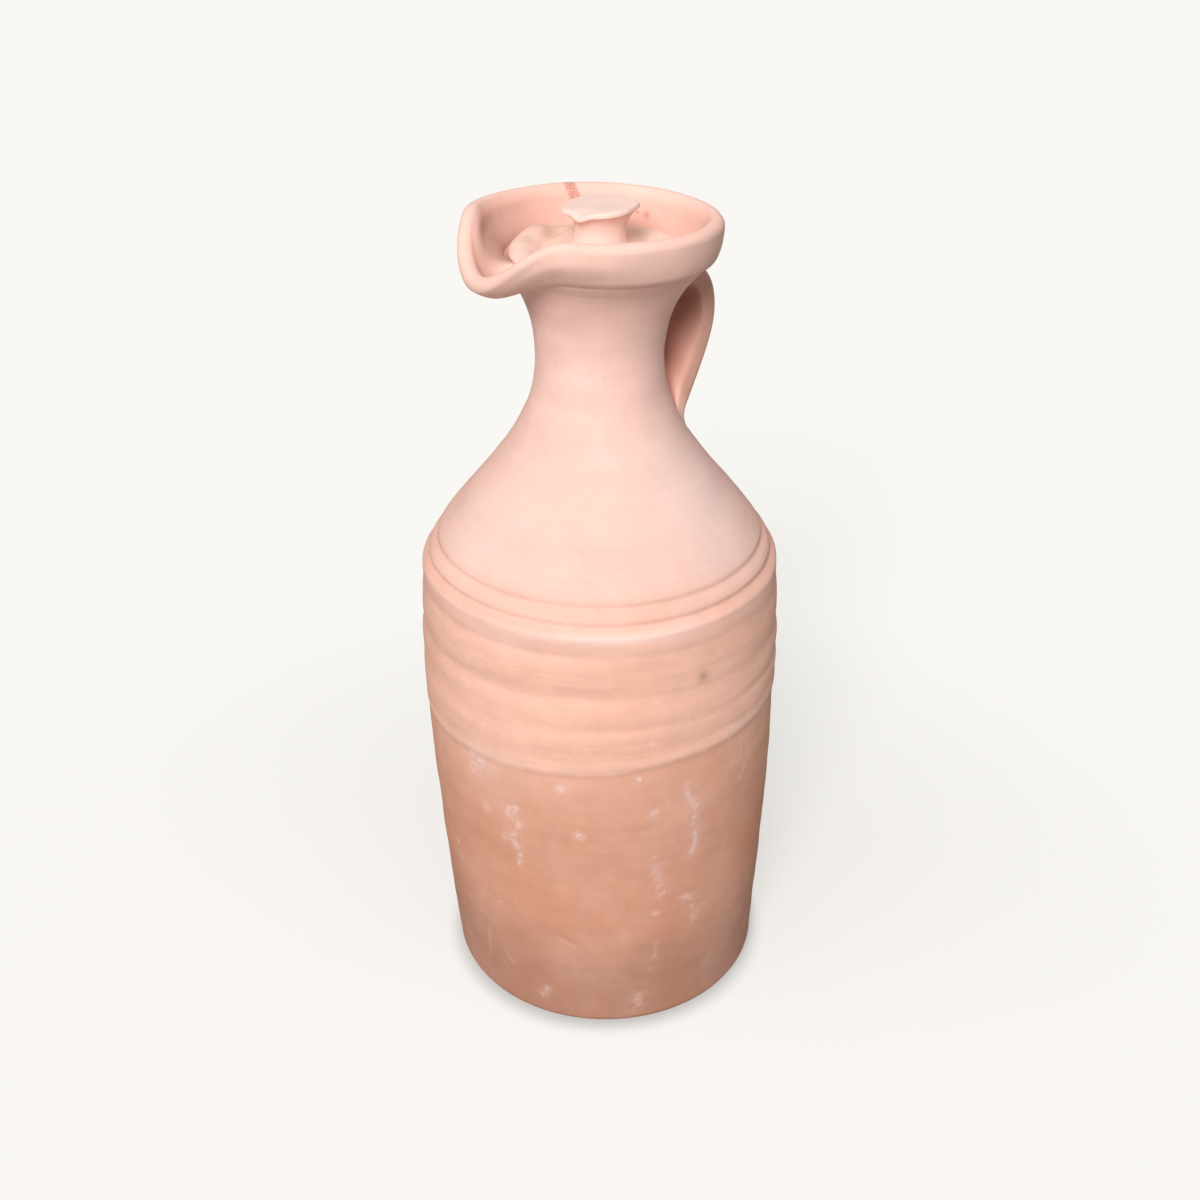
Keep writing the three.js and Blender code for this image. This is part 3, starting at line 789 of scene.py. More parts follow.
base_rows = np.concatenate([
    np.linspace(HEEL_ROUND, WALL_SEAM - BASE_ROWS_END, BASE_ROWS), WALL_SEAM - STEP_ROWS,
])
base_fade = np.clip(base_rows / STEADY_HEEL, 0, 1)
base_wall = on_line(lower_wall, base_rows)
base_wall[:, 0] += TURNED_STEP / 2 * smooth_step(base_rows, WALL_SEAM - STEP_REACH, WALL_SEAM)
floor_corner = on_line(inner_line, np.array([FLOOR_THICKNESS + FLOOR_FILLET]))[0]
base_section = [
    ((0.0, 0.0), 0, 0),
    ((FOOT_RADIUS * FOOT_RING, 0.0), 0, 0),
    (quarter((FOOT_RADIUS, HEEL_ROUND), HEEL_ROUND, -90, 10)[:-1], HEEL_WOBBLE, 0),
    (base_wall, base_fade, 0),
    (on_line(inner_line, np.array([WALL_SEAM])), 0, 0),
    (inside_wall(WALL_SEAM - INSIDE_START, floor_corner[1]), 0, 0),
    (quarter(floor_corner - (FLOOR_FILLET, 0), FLOOR_FILLET, 0, 6)[1:] * (1, -1)
     + (0, 2 * floor_corner[1]), 0, 0),
    ((0.0, FLOOR_THICKNESS), 0, 0),
]
turned_base = throw("turned_base", base_section, turned_clay, BODY_SEGMENTS, **BODY_WOBBLE)
reshape(turned_base, settle(corners_of(turned_base)))
stand_for(turned_base, "lower_body", "jar")

# %% [markdown]
# ## Ringed wall
# Above the line the potter's fingers left rings about 18 mm apart. They are shallow hollows
# with soft ridges between, and a plump bead under the lower incised line. A bump map would
# show them, but they belong to the outline too, so each is a small bell added to the section
# at its height. The wheel's tree then lets them wander.

# %% Rings and incised lines
# Height, half width and depth of each hollow (below zero) or ridge (above zero).
RINGS = (
    (0.2330, 0.0036, 0.0004),
    (0.2245, 0.0030, -0.0007),
    (0.2140, 0.0060, 0.0002),
    (0.2030, 0.0038, -0.0006),
    (0.1955, 0.0045, 0.0002),
    (0.1850, 0.0034, -0.0006),
    (0.1785, 0.0040, 0.0002),
    (0.1700, 0.0028, -0.0002),
)
INCISED_WIDTH = 0.0017
INCISED_DEPTH = 0.0013
INCISED_LOWER = 0.0020            # below the grooves of the CAD model
INCISED_ROWS = np.linspace(-2.5, 2.5, 25)
INCISED_CLEAR = 2.6               # half widths of a line that the even rows leave free
INCISED_LINES = (SHOULDER_SEAM - INCISED_LOWER, SHOULDER_SEAM + GROOVE_SPACING - INCISED_LOWER)


def ring_relief(heights):
    """How far the rings stand out from the outline."""
    return sum(depth * np.exp(-((heights - height) / width) ** 2) for height, width, depth in RINGS)


def outside_rows(low, high, step):
    """Points of the outside with its incised lines, which get more rows."""
    even = np.linspace(low, high, max(2, round((high - low) / step)) + 1)
    fine = np.concatenate([line + INCISED_WIDTH * INCISED_ROWS for line in INCISED_LINES])
    away = np.min([np.abs(even - line) for line in INCISED_LINES], axis=0)
    heights = np.unique(np.concatenate([
        (low, high), even[away > INCISED_CLEAR * INCISED_WIDTH], fine[(fine > low) & (fine < high)],
    ]))
    points = on_line(above_seam, heights)
    for line in INCISED_LINES:
        points[:, 0] -= INCISED_DEPTH * np.exp(-((heights - line) / INCISED_WIDTH) ** 2)
    return points


print("rings stand out", max(depth for _, _, depth in RINGS), "at most")

# %% Ringed wall
RING_ROW = 0.0009
RING_DRIFT = 0.0035
LOOSE_ABOVE_SEAM = 0.012          # the rings drift freely from here
LOOSE_BELOW_EDGE = (0.002, 0.014)

ring_points = outside_rows(WALL_SEAM, SHOULDER_SEAM, RING_ROW)
step_left = 1 - smooth_step(ring_points[:, 1], WALL_SEAM, WALL_SEAM + STEP_REACH)
ring_points[:, 0] -= TURNED_STEP / 2 * step_left
loose_below = [drop - SHOULDER_EDGE for drop in LOOSE_BELOW_EDGE]
ring_loose = (smooth_step(ring_points[:, 1], WALL_SEAM, WALL_SEAM + LOOSE_ABOVE_SEAM)
              * smooth_step(-ring_points[:, 1], *loose_below))
ringed_section = [
    (ring_points, 1, ring_loose),
    (on_line(inner_line, np.array([SHOULDER_SEAM])), 0, 0),
    (inside_wall(SHOULDER_SEAM - INSIDE_START, WALL_SEAM), 0, 0),
    (ring_points[:1], 1, ring_loose[:1]),
]
ringed_wall = throw("ringed_wall", ringed_section, ringed_clay, BODY_SEGMENTS,
                    rings=ring_relief, Drift=RING_DRIFT, **BODY_WOBBLE)
reshape(ringed_wall, settle(corners_of(ringed_wall)))
stand_for(ringed_wall, "upper_body", "jar")

# %% [markdown]
# ## Shoulder and neck
# The shoulder sweeps up in one smooth curve, carries the upper incised line and runs out
# into the flare under the collar. The mouth of the real jar leans a little towards the
# handle. Turning the upper pieces would open their seams, so everything above the waist of
# the neck is sheared down on that side by one rule.


# %% Lean of the mouth
def lean_mouth(points):
    leaned = points.copy()
    share = smooth_step(points[:, 2], NECK_WAIST, CREASE)
    leaned[:, 2] -= points[:, 0] * math.tan(MOUTH_LEAN) * share
    return leaned


print("the mouth drops by", NECK_TOP_RADIUS * math.tan(MOUTH_LEAN), "towards the handle")

# %% Shoulder and neck
NECK_SEGMENTS = 360
NECK_ROW = 0.0011
NECK_INSIDE_ROW = 0.003
STEADY_TOP = 0.02                 # the wobble fades out over this height under the collar

neck_points = outside_rows(SHOULDER_SEAM, COLLAR_SEAM, NECK_ROW)
neck_skin = np.clip((COLLAR_SEAM - neck_points[:, 1]) / STEADY_TOP, 0, 1)
neck_section = [
    (neck_points, neck_skin, 0),
    (inside_wall(COLLAR_SEAM, SHOULDER_SEAM, NECK_INSIDE_ROW), 0, 0),
    (neck_points[:1], neck_skin[:1], 0),
]
shoulder_and_neck = throw("shoulder_and_neck", neck_section, pale_clay, NECK_SEGMENTS, **BODY_WOBBLE)
reshape(shoulder_and_neck, lean_mouth(corners_of(shoulder_and_neck)))
stand_for(shoulder_and_neck, "shoulder_neck", "jar")

# %% [markdown]
# ## Collar and spout
# The collar is a thick rolled rim with a ledge inside for the lid. While it was soft, the
# potter drew the wall between thumb and finger out and down into a spout. A sculpted
# mesh would do, but two sections say it all: that of the plain rim and that of the
# spout's tip. Round the mouth, each point of the one goes over into its partner of the other.

# %% Section of the plain rim
COLLAR_HEIGHT = 0.0193
LEDGE_WIDTH = 0.004
MOUTH_FLARE = 0.0038
LIP_THICKNESS = 0.008
FLARE_ROWS = 16
BULGE_ROWS = 24
WALL_ROWS = 26
BULGE_UNDER = 0.0026              # the bulge first runs out over the crease
BULGE_TURN = 0.0075               # and then turns upright
CREASE_CUT = 0.0009
CREASE_WIDTH = 0.0015
LIP_ROWS = 25
LIP_SWEEP = math.radians(105)
LIP_RUN = 9                       # rows of the lip that its line runs on into the mouth
LEDGE_PULL = (0.0025, 0.010)
LEDGE_ROW = 0.001

BORE_RADIUS = on_line(inner_line, np.array([CREASE]))[0, 0]
MOUTH_RADIUS = BORE_RADIUS + LEDGE_WIDTH
RIM_RADIUS = MOUTH_RADIUS + MOUTH_FLARE + LIP_THICKNESS
LIP_ROUND = LIP_THICKNESS / 2
LIP_TOP = CREASE + COLLAR_HEIGHT
lip_middle = (RIM_RADIUS - LIP_ROUND, LIP_TOP - LIP_ROUND)


def lip_arc(middle, turned_over, sweep):
    """Round of the lip, from the outside over to the inside."""
    turn = np.linspace(0, sweep, LIP_ROWS) - turned_over
    round_off = np.column_stack([np.cos(turn), np.sin(turn)])
    return np.array(middle) + LIP_ROUND * round_off


def soften(points, rounds):
    """Rounds off the corners of a line and keeps its ends."""
    soft = points.copy()
    for _ in range(rounds):
        soft[1:-1] = (soft[:-2] + 2 * soft[1:-1] + soft[2:]) / 4
    return soft


bulge = bezier(
    (NECK_TOP_RADIUS, CREASE),
    (NECK_TOP_RADIUS + BULGE_UNDER, CREASE),
    (RIM_RADIUS, CREASE + BULGE_TURN),
    (RIM_RADIUS, lip_middle[1]),
    steps=BULGE_ROWS,
)
upper_flare = on_line(above_seam, np.linspace(COLLAR_SEAM, CREASE, FLARE_ROWS + 1))
collar_outside = soften(np.vstack([upper_flare, bulge[1:]]), 1)[:-1]
collar_outside[:, 0] -= CREASE_CUT * np.exp(-((collar_outside[:, 1] - CREASE) / CREASE_WIDTH) ** 2)
rim_lip = lip_arc(lip_middle, 0, LIP_SWEEP)
ledge = np.vstack([[(MOUTH_RADIUS, CREASE)], inside_wall(CREASE, COLLAR_SEAM, LEDGE_ROW)])
rim_wall = bezier(
    rim_lip[-1],
    rim_lip[-1] + (rim_lip[-1] - rim_lip[-2]) * LIP_RUN,
    ledge[0] + LEDGE_PULL,
    ledge[0],
    steps=WALL_ROWS,
)[1:-1]
print("rim radius", RIM_RADIUS, "and lip top", LIP_TOP)

# %% Section of the spout's tip
SPOUT_REACH = 0.0605
SPOUT_DROP = 0.0042
SPOUT_TURN = math.radians(32)
UNDERSIDE_RUN = 0.006
UNDERSIDE_LIFT = 0.0037
UNDERSIDE_SAG = 0.010
CHANNEL_RUN = 0.0030
CHANNEL_DEPTH = 0.0092
CHANNEL_ROOT = 0.0070
CHANNEL_DIP = 0.0014

spout_foot = collar_outside[0]
spout_lip = lip_arc((SPOUT_REACH, CREASE - SPOUT_DROP), SPOUT_TURN, math.pi)
underside = bezier(
    spout_foot,
    spout_foot + (UNDERSIDE_RUN, UNDERSIDE_LIFT),
    (spout_foot[0] + UNDERSIDE_RUN, spout_lip[0, 1] - UNDERSIDE_SAG),
    spout_lip[0],
    steps=len(collar_outside),
)[:-1]
channel = bezier(
    spout_lip[-1],
    spout_lip[-1] - (CHANNEL_RUN, CHANNEL_DEPTH),
    (MOUTH_RADIUS + CHANNEL_ROOT, CREASE - CHANNEL_DIP),
    ledge[0],
    steps=WALL_ROWS,
)[1:-1]
spout_section = np.vstack([underside, spout_lip, channel, ledge, underside[:1]])
print("spout reaches", spout_section[:, 0].max())

# %% Drawing the spout
MOUTH_SPREAD = math.radians(90)
MOUTH_PULL = 0.007
SPOUT_HALF_ANGLE = math.radians(40)
CORNER_AT = math.radians(48)      # the far cheek is pushed out a little further
CORNER_WIDTH = math.radians(20)
CORNER_PULL = 0.0014
COLLAR_WOBBLE = {"Wobble": 0.0004, "Wobble Scale": 22.0, "Ripple": 0.0002, "Ripple Scale": 80.0}


def bell(share):
    return np.cos(np.minimum(share, 1) * math.pi / 2) ** 2


def drawn_of(piece):
    """The second place of each point, as (radius, height)."""
    layer = piece.data.attributes["drawn"]
    flat = np.zeros(len(piece.data.vertices) * 3)
    layer.data.foreach_get("vector", flat)
    return flat.reshape(-1, 3)[:, [0, 2]]


def draw_spout(points, drawn):
    """Opens the rim towards -X and lets its section go over into the spout's."""
    angle = np.arctan2(points[:, 1], -points[:, 0])
    side = np.abs(angle)
    up = smooth_step(points[:, 2], CREASE, LIP_TOP - LIP_THICKNESS)
    cheek = np.exp(-((angle - CORNER_AT) / CORNER_WIDTH) ** 2)
    opened = MOUTH_PULL * bell(side / MOUTH_SPREAD) + CORNER_PULL * cheek
    rim = np.column_stack([np.hypot(points[:, 0], points[:, 1]) + opened * up, points[:, 2]])
    share = bell(side / SPOUT_HALF_ANGLE)[:, None]
    reach, height = (rim * (1 - share) + drawn * share).T
    return np.column_stack([-reach * np.cos(angle), reach * np.sin(angle), height])


collar_section = [
    (collar_outside, np.linspace(0, 1, len(collar_outside)), 0),
    (rim_lip, 1, 0),
    (rim_wall, np.linspace(1, 0, len(rim_wall)), 0),
    (ledge, 0, 0),
    (collar_outside[:1], 0, 0),
]
spouted_collar = throw("spouted_collar", collar_section, collar_clay, NECK_SEGMENTS, spout_section,
                       **COLLAR_WOBBLE)
spouted = draw_spout(corners_of(spouted_collar), drawn_of(spouted_collar))
reshape(spouted_collar, lean_mouth(spouted))
stand_for(spouted_collar, "pouring_collar", "jar")

# %% [markdown]
# ## Lid and knob
# The lid is a small saucer that rests on the ledge, with a moat round its knob. It was made
# quickly, so its top is lumpy. The knob is a waisted stem whose thin cap was pressed
# flat: it tilts, and one corner of it droops. Sculpting would give such marks, but a short
# list of mounds and corners can be read and changed, so they are added to turned pieces.

# %% Lid
LID_PLAY = 0.0016
LID_EDGE = 0.0034
LID_BELLY = 0.004
MOAT_DEPTH = 0.0026
RIDGE_INSET = 0.005
KNOB_FOOT_RADIUS = 0.0145
LID_SEGMENTS = 240
LID_WOBBLE = {"Wobble": 0.0005, "Wobble Scale": 30.0, "Drift": 0.0008}
MOAT_ROWS = 26
MOAT_WOBBLE = 0.5
EDGE_ROWS = 13

lid_radius = MOUTH_RADIUS - LID_PLAY
lid_seat = CREASE + LUTE_GAP
lid_top = lid_seat + LID_EDGE
ridge_radius = lid_radius - RIDGE_INSET
moat_share = np.linspace(0, 1, MOAT_ROWS)
moat = np.column_stack([
    ridge_radius + (KNOB_FOOT_RADIUS - ridge_radius) * moat_share,
    lid_top - MOAT_DEPTH * np.sin(math.pi * moat_share) ** 2,
])
edge_turn = np.linspace(0, math.pi / 2, EDGE_ROWS)
edge = np.column_stack([
    lid_radius - RIDGE_INSET * (1 - np.cos(edge_turn)),
    lid_seat + LID_EDGE * np.sin(edge_turn),
])
belly_radius = BORE_RADIUS - LID_PLAY
lid_section = [
    ((0.0, lid_seat - LID_BELLY), 0, 0),
    ((belly_radius - 2 * LID_BELLY, lid_seat - LID_BELLY), 0, 0),
    ((belly_radius, lid_seat), 0, 0),
    (edge, np.linspace(0, 1, len(edge)), np.linspace(0, 1, len(edge))),
    (moat[1:], MOAT_WOBBLE, 1),
    ((0.0, lid_top), 0, 0),
]
lid_saucer = throw("lid_saucer", lid_section, lid_clay, LID_SEGMENTS, **LID_WOBBLE)

# %% Mounds on the lid
# Angle in degrees, distance from the middle, size and height of each.
LID_MOUNDS = (
    (115, 0.0285, 0.0090, 0.0052),
    (86, 0.0240, 0.0066, 0.0056),
    (145, 0.0320, 0.0070, 0.0016),
    (10, 0.0260, 0.0120, 0.0024),
)


def mounds_on(points):
    total = np.zeros(len(points))
    for angle, distance, size, height in LID_MOUNDS:
        x, y = distance * math.cos(math.radians(angle)), distance * math.sin(math.radians(angle))
        away = np.hypot(points[:, 0] - x, points[:, 1] - y)
        total += height * np.exp(-(away / size) ** 2)
    return total


lumpy = corners_of(lid_saucer)
lumpy[:, 2] += mounds_on(lumpy) * smooth_step(lumpy[:, 2], lid_seat, lid_seat + LID_EDGE / 2)
reshape(lid_saucer, lean_mouth(lumpy))
stand_for(lid_saucer, "lid_plate", "lid")
print("mounds stand", mounds_on(lumpy).max(), "above the lid")

# %% Section of the knob
KNOB_STEM_RADIUS = 0.0115
KNOB_HEIGHT = 0.0183
CAP_RADIUS = 0.0159
CAP_THICKNESS = 0.0017
CAP_FLARE = 0.003
STEM_ROWS = 30
CAP_ROUND_ROWS = 9
CAP_FLAT_ROWS = 13
CAP_LOOSE_MIDDLE = 0.4            # the middle of the cap rises and falls less than its edge

knob_foot = lid_top + LUTE_GAP
knob_top = knob_foot + KNOB_HEIGHT
cap_edge = knob_top - CAP_THICKNESS
stem = bezier(
    (KNOB_FOOT_RADIUS, knob_foot),
    (2 * KNOB_STEM_RADIUS - KNOB_FOOT_RADIUS, knob_foot + CAP_FLARE),
    (KNOB_STEM_RADIUS, cap_edge - CAP_FLARE),
    (CAP_RADIUS, cap_edge),
    steps=STEM_ROWS,
)
cap_turn = np.linspace(0, math.pi / 2, CAP_ROUND_ROWS + 1)[1:]
cap_round = np.column_stack([
    CAP_RADIUS - CAP_THICKNESS * (1 - np.cos(cap_turn)),
    cap_edge + CAP_THICKNESS * np.sin(cap_turn),
])
cap_flat = np.column_stack([
    np.linspace(cap_round[-1, 0], 0.0, CAP_FLAT_ROWS + 1)[1:], np.full(CAP_FLAT_ROWS, knob_top),
])
knob_section = [
    ((0.0, knob_foot), 0, 0),
    (stem, np.linspace(0, 1, len(stem)), 0),
    (cap_round, 1, 1),
    (cap_flat, 0, np.linspace(1, CAP_LOOSE_MIDDLE, len(cap_flat))),
]
print("the knob's cap lies at", knob_top)

# %% Knob with its pressed cap
KNOB_SEGMENTS = 180
KNOB_WOBBLE = {"Wobble": 0.0006, "Wobble Scale": 60.0, "Drift": 0.0005}
CAP_TILT = math.radians(4.5)
CAP_TILT_TOWARDS = math.radians(180)
# Corners of the cap: angle and width in degrees, how far each stands out and how far it droops.
CAP_CORNERS = (
    (160, 16, 0.0016, 0.0002),
    (203, 13, 0.0012, 0.0016),
    (325, 16, 0.0010, 0.0),
    (75, 45, -0.0013, 0.0),
)
STIFF_STEM = 0.6                  # share of the knob's height that stays upright
STIFF_MIDDLE = 0.5                # share of the cap's radius that keeps its place


def press_cap(points):
    """Tilts the cap, pulls its corners out and lets them droop."""
    share = smooth_step(points[:, 2], knob_foot + STIFF_STEM * KNOB_HEIGHT, cap_edge)
    turn = np.arctan2(points[:, 1], points[:, 0])
    radius = np.hypot(points[:, 0], points[:, 1])
    pressed = points.copy()
    pressed[:, 2] -= share * radius * np.cos(turn - CAP_TILT_TOWARDS) * math.tan(CAP_TILT)
    outer = share * smooth_step(radius, STIFF_MIDDLE * CAP_RADIUS, CAP_RADIUS)
    for angle, width, pull, droop in CAP_CORNERS:
        away = np.degrees(np.angle(np.exp(1j * (turn - math.radians(angle)))))
        near = outer * np.exp(-(away / width) ** 2)
        pressed[:, 0] += pull * near * np.cos(turn)
        pressed[:, 1] += pull * near * np.sin(turn)
        pressed[:, 2] -= droop * near
    return pressed


lid_button = throw("lid_button", knob_section, knob_clay, KNOB_SEGMENTS, **KNOB_WOBBLE)
reshape(lid_button, lean_mouth(press_cap(corners_of(lid_button))))
stand_for(lid_button, "lid_knob", "lid")

# %% [markdown]
# ## Strap handle
# The handle is a strap of clay pulled by wet hands, bent from under the collar to the
# shoulder, and smeared on at both ends. A bevelled curve gives the strap but not the
# smears, so its flat sections are laid along the curve one by one, and points that come near
# the neck are eased out to its surface, which leaves a soft fillet.

# %% Middle line of the strap
HANDLE_REACH = 0.056
HANDLE_THICKNESS = 0.0115
HANDLE_TOP_DROP = 0.010
HANDLE_BEND_RISE = 0.014
HANDLE_FOOT_DROP = 0.040
HANDLE_TOP_PULL = 0.017
HANDLE_BEND_PULL = 0.012
HANDLE_FOOT_PULL = 0.029
HANDLE_FOOT_LEAN = math.radians(26)
HANDLE_STEPS = 70


def strap_line():
    """The middle line of the strap in the plane y = 0, as (x, z)."""
    bend = (HANDLE_REACH - HANDLE_THICKNESS / 2, NECK_WAIST + HANDLE_BEND_RISE)
    top = (NECK_RADIUS, CREASE - HANDLE_TOP_DROP)
    foot = (NECK_RADIUS, NECK_WAIST - HANDLE_FOOT_DROP)
    upper = bezier(top, (top[0] + HANDLE_TOP_PULL, top[1]), (bend[0], bend[1] + HANDLE_BEND_PULL), bend,
                   steps=HANDLE_STEPS // 2)
    lower = bezier(
        bend,
        (bend[0], bend[1] - HANDLE_BEND_PULL),
        (foot[0] + HANDLE_FOOT_PULL * math.sin(HANDLE_FOOT_LEAN),
         foot[1] + HANDLE_FOOT_PULL * math.cos(HANDLE_FOOT_LEAN)),
        foot,
        steps=HANDLE_STEPS // 2,
    )
    return np.vstack([upper, lower[1:]])


middle_line = strap_line()
print("the strap is", np.linalg.norm(np.diff(middle_line, axis=0), axis=1).sum(), "long")

# %% Smearing the strap's ends onto the neck
SMEAR = 0.006
SMEAR_SINK = 0.0004               # the smeared clay lies this far inside the neck's surface
NO_RADIUS = 1e-6


def ease_out(distance, surface, blend):
    """A smooth maximum: distance where it is well outside the surface, and never inside."""
    near = np.clip(0.5 + (distance - surface) / (2 * blend), 0, 1)
    return surface + (distance - surface) * near + blend * near * (1 - near)


def neck_surface(points):
    """Radius of the neck at the height of each point."""
    share = smooth_step(points[:, 2], NECK_WAIST, CREASE)
    upright = points[:, 2] + points[:, 0] * math.tan(MOUTH_LEAN) * share
    return np.interp(upright, above_seam[:, 1], above_seam[:, 0])


def smear_on(points):
    """Moves points that lie in the neck out to its surface, with a soft fillet."""
    surface = neck_surface(points) - SMEAR_SINK
    radius = np.hypot(points[:, 0], points[:, 1])
    wanted = ease_out(radius, surface, SMEAR)
    smeared = points.copy()
    smeared[:, :2] *= (wanted / np.maximum(radius, NO_RADIUS))[:, None]
    return smeared


print("points in the neck are moved out:", smear_on(np.array([[NECK_RADIUS / 2, 0.0, NECK_WAIST]])))

# %% Strap handle
HANDLE_WIDTH = 0.028
HANDLE_FLARE = 0.14               # the ends are wider by this share
SQUARE_INSIDE = 4.4               # 2 is an oval strap, more is squarer
SQUARE_OUTSIDE = 3.7
FINGER_GROOVE = 0.0007
GROOVE_SHARE = 0.3                # of the half width
HANDLE_ROUND = 72


def squared(wave, square):
    """Flattens a wave at its ends, which squares the oval that it draws."""
    return np.sign(wave) * np.abs(wave) ** (2 / square)


def strap_rings(line):
    """Closed sections along a line, each in the plane across it."""
    tangent = np.gradient(line, axis=0)
    tangent /= np.linalg.norm(tangent, axis=1)[:, None]
    normal = np.column_stack([-tangent[:, 1], tangent[:, 0]])
    turn = np.linspace(0, 2 * math.pi, HANDLE_ROUND, endpoint=False)
    square = np.where(np.sin(turn) > 0, SQUARE_OUTSIDE, SQUARE_INSIDE)
    middle = NECK_WAIST + HANDLE_BEND_RISE
    away = np.minimum(np.abs(line[:, 1] - middle) / (HANDLE_FOOT_DROP + HANDLE_BEND_RISE), 1)
    wide = HANDLE_WIDTH / 2 * (1 + HANDLE_FLARE * away ** 2)
    rings = []
    for place, across, half_width in zip(line, normal, wide):
        sideways = half_width * squared(np.cos(turn), square)
        depth = HANDLE_THICKNESS / 2 * squared(np.sin(turn), square)
        groove = FINGER_GROOVE * np.exp(-(sideways / (GROOVE_SHARE * half_width)) ** 2)
        depth = depth - groove * (depth > 0)
        x, z = (place[axis] + across[axis] * depth for axis in (0, 1))
        rings.append(np.column_stack([x, sideways, z]))
    return np.vstack(rings)


def make_strap(name, material):
    points = strap_rings(middle_line)
    faces = []
    for i in range(len(middle_line) - 1):
        for j in range(HANDLE_ROUND):
            k = (j + 1) % HANDLE_ROUND
            low, high = i * HANDLE_ROUND, (i + 1) * HANDLE_ROUND
            faces.append((low + j, low + k, high + k, high + j))
    faces.append(tuple(reversed(range(HANDLE_ROUND))))
    faces.append(tuple(range(len(points) - HANDLE_ROUND, len(points))))
    mesh = bpy.data.meshes.new(name)
    mesh.from_pydata(smear_on(points), [], faces)
    mesh.materials.append(material)
    mesh.shade_smooth()
    piece = bpy.data.objects.new(name, mesh)
    bpy.context.scene.collection.objects.link(piece)
    print(name, "has", len(mesh.polygons), "faces")
    return piece


strap = make_strap("strap", handle_clay)
stand_for(strap, "handle", "jar")

# %% [markdown]
# ## Lime on the walls
# Water that seeps through the wall dries into white runs and spots of lime. A texture over
# the whole wall would put them everywhere, but they sit at certain places, so they are
# painted as an attribute on the points of the walls, and the clay recipe then makes their
# edges ragged. Each run is a chain of a few points on the unrolled wall, and each spot a
# soft dot.

# %% Places of the runs and spots
# Runs: half width, strength, and points as (angle in degrees, height).
LIME_RUNS = (
    (0.0013, 0.80, ((263, 0.150), (263.5, 0.144), (266.5, 0.1355), (266.5, 0.1255), (267, 0.114),
                    (266, 0.108))),
    (0.0028, 0.45, ((266.5, 0.136), (266.5, 0.126), (267, 0.116))),
    (0.0012, 0.65, ((204, 0.130), (205, 0.136), (208, 0.1375), (206, 0.131), (208.5, 0.128),
                    (207, 0.1215), (203, 0.1165), (206, 0.116), (208.5, 0.110), (207.5, 0.102))),
    (0.0014, 0.90, ((190, 0.160), (192.5, 0.158), (195.5, 0.156))),
    (0.0030, 0.55, ((190.5, 0.1505), (192.5, 0.147))),
    (0.0014, 0.60, ((263, 0.0815), (266.5, 0.079), (267.5, 0.0725), (268.5, 0.064))),
    (0.0024, 0.40, ((253, 0.1055), (254, 0.0985), (255.5, 0.088))),
    (0.0018, 0.50, ((291.5, 0.1475), (288.5, 0.1445), (286, 0.1375))),
    (0.0010, 0.80, ((279.5, 0.1725), (286, 0.1715), (292, 0.171), (306, 0.165))),
    (0.0014, 0.60, ((216, 0.021), (213, 0.0145))),
    (0.0028, 0.45, ((248.5, 0.0185), (249, 0.009))),
    (0.0012, 0.25, ((191, 0.047), (189, 0.025))),
    (0.0012, 0.30, ((254, 0.0555), (254, 0.0455))),
    (0.0010, 0.45, ((199.5, 0.0345), (201, 0.032))),
)
# Spots: angle in degrees, height, radius and strength.
LIME_SPOTS = (
    (223, 0.1545, 0.0017, 1.80),
    (228.5, 0.127, 0.0026, 0.60),
    (247, 0.1600, 0.0012, 0.95),
    (252, 0.1380, 0.0028, 0.50),
    (252.5, 0.1115, 0.0010, 0.85),
    (254, 0.0755, 0.0020, 0.55),
    (200.5, 0.166, 0.0013, 0.80),
    (191, 0.1790, 0.0011, 0.80),
    (191, 0.1970, 0.0020, 0.40),
    (191, 0.2110, 0.0011, 0.55),
    (176.5, 0.0905, 0.0011, 0.75),
    (178, 0.0815, 0.0011, 0.60),
    (198.5, 0.0715, 0.0010, 0.60),
    (251.5, 0.201, 0.0010, 0.70),
    (250.5, 0.179, 0.0017, 0.50),
    (299, 0.2155, 0.0012, 0.50),
    (252.5, 0.0375, 0.0010, 0.50),
    (196, 0.1300, 0.0022, 0.30),
    (193, 0.1560, 0.0085, 0.45),
    (287, 0.1560, 0.0080, 0.25),
)
print(len(LIME_RUNS), "runs and", len(LIME_SPOTS), "spots of lime are placed one by one")

# %% Measuring on the unrolled wall
WALL_RADIUS = 0.085


def unrolled(points, towards):
    """Place on the unrolled wall: distance round it from an angle in degrees, and height."""
    turn = np.arctan2(points[:, 1], points[:, 0]) - math.radians(towards)
    return np.angle(np.exp(1j * turn)) * np.hypot(points[:, 0], points[:, 1]), points[:, 2]


def away_from(points, line):
    """Distance on the unrolled wall from a chain of (angle, height) points."""
    start = line[0][0]
    across, height = unrolled(points, start)
    chain_points = [(math.radians(angle - start) * WALL_RADIUS, z) for angle, z in line]
    nearest = np.full(len(points), np.inf)
    for (x0, z0), (x1, z1) in zip(chain_points, chain_points[1:]):
        run, rise = x1 - x0, z1 - z0
        share = np.clip(((across - x0) * run + (height - z0) * rise) / (run ** 2 + rise ** 2), 0, 1)
        nearest = np.minimum(nearest, np.hypot(across - x0 - share * run, height - z0 - share * rise))
    return nearest


def dot_on(points, angle, height, size):
    across, up = unrolled(points, angle)
    return np.exp(-((across ** 2 + (up - height) ** 2) / size ** 2))


print("a degree round the wall is", math.radians(1) * WALL_RADIUS)

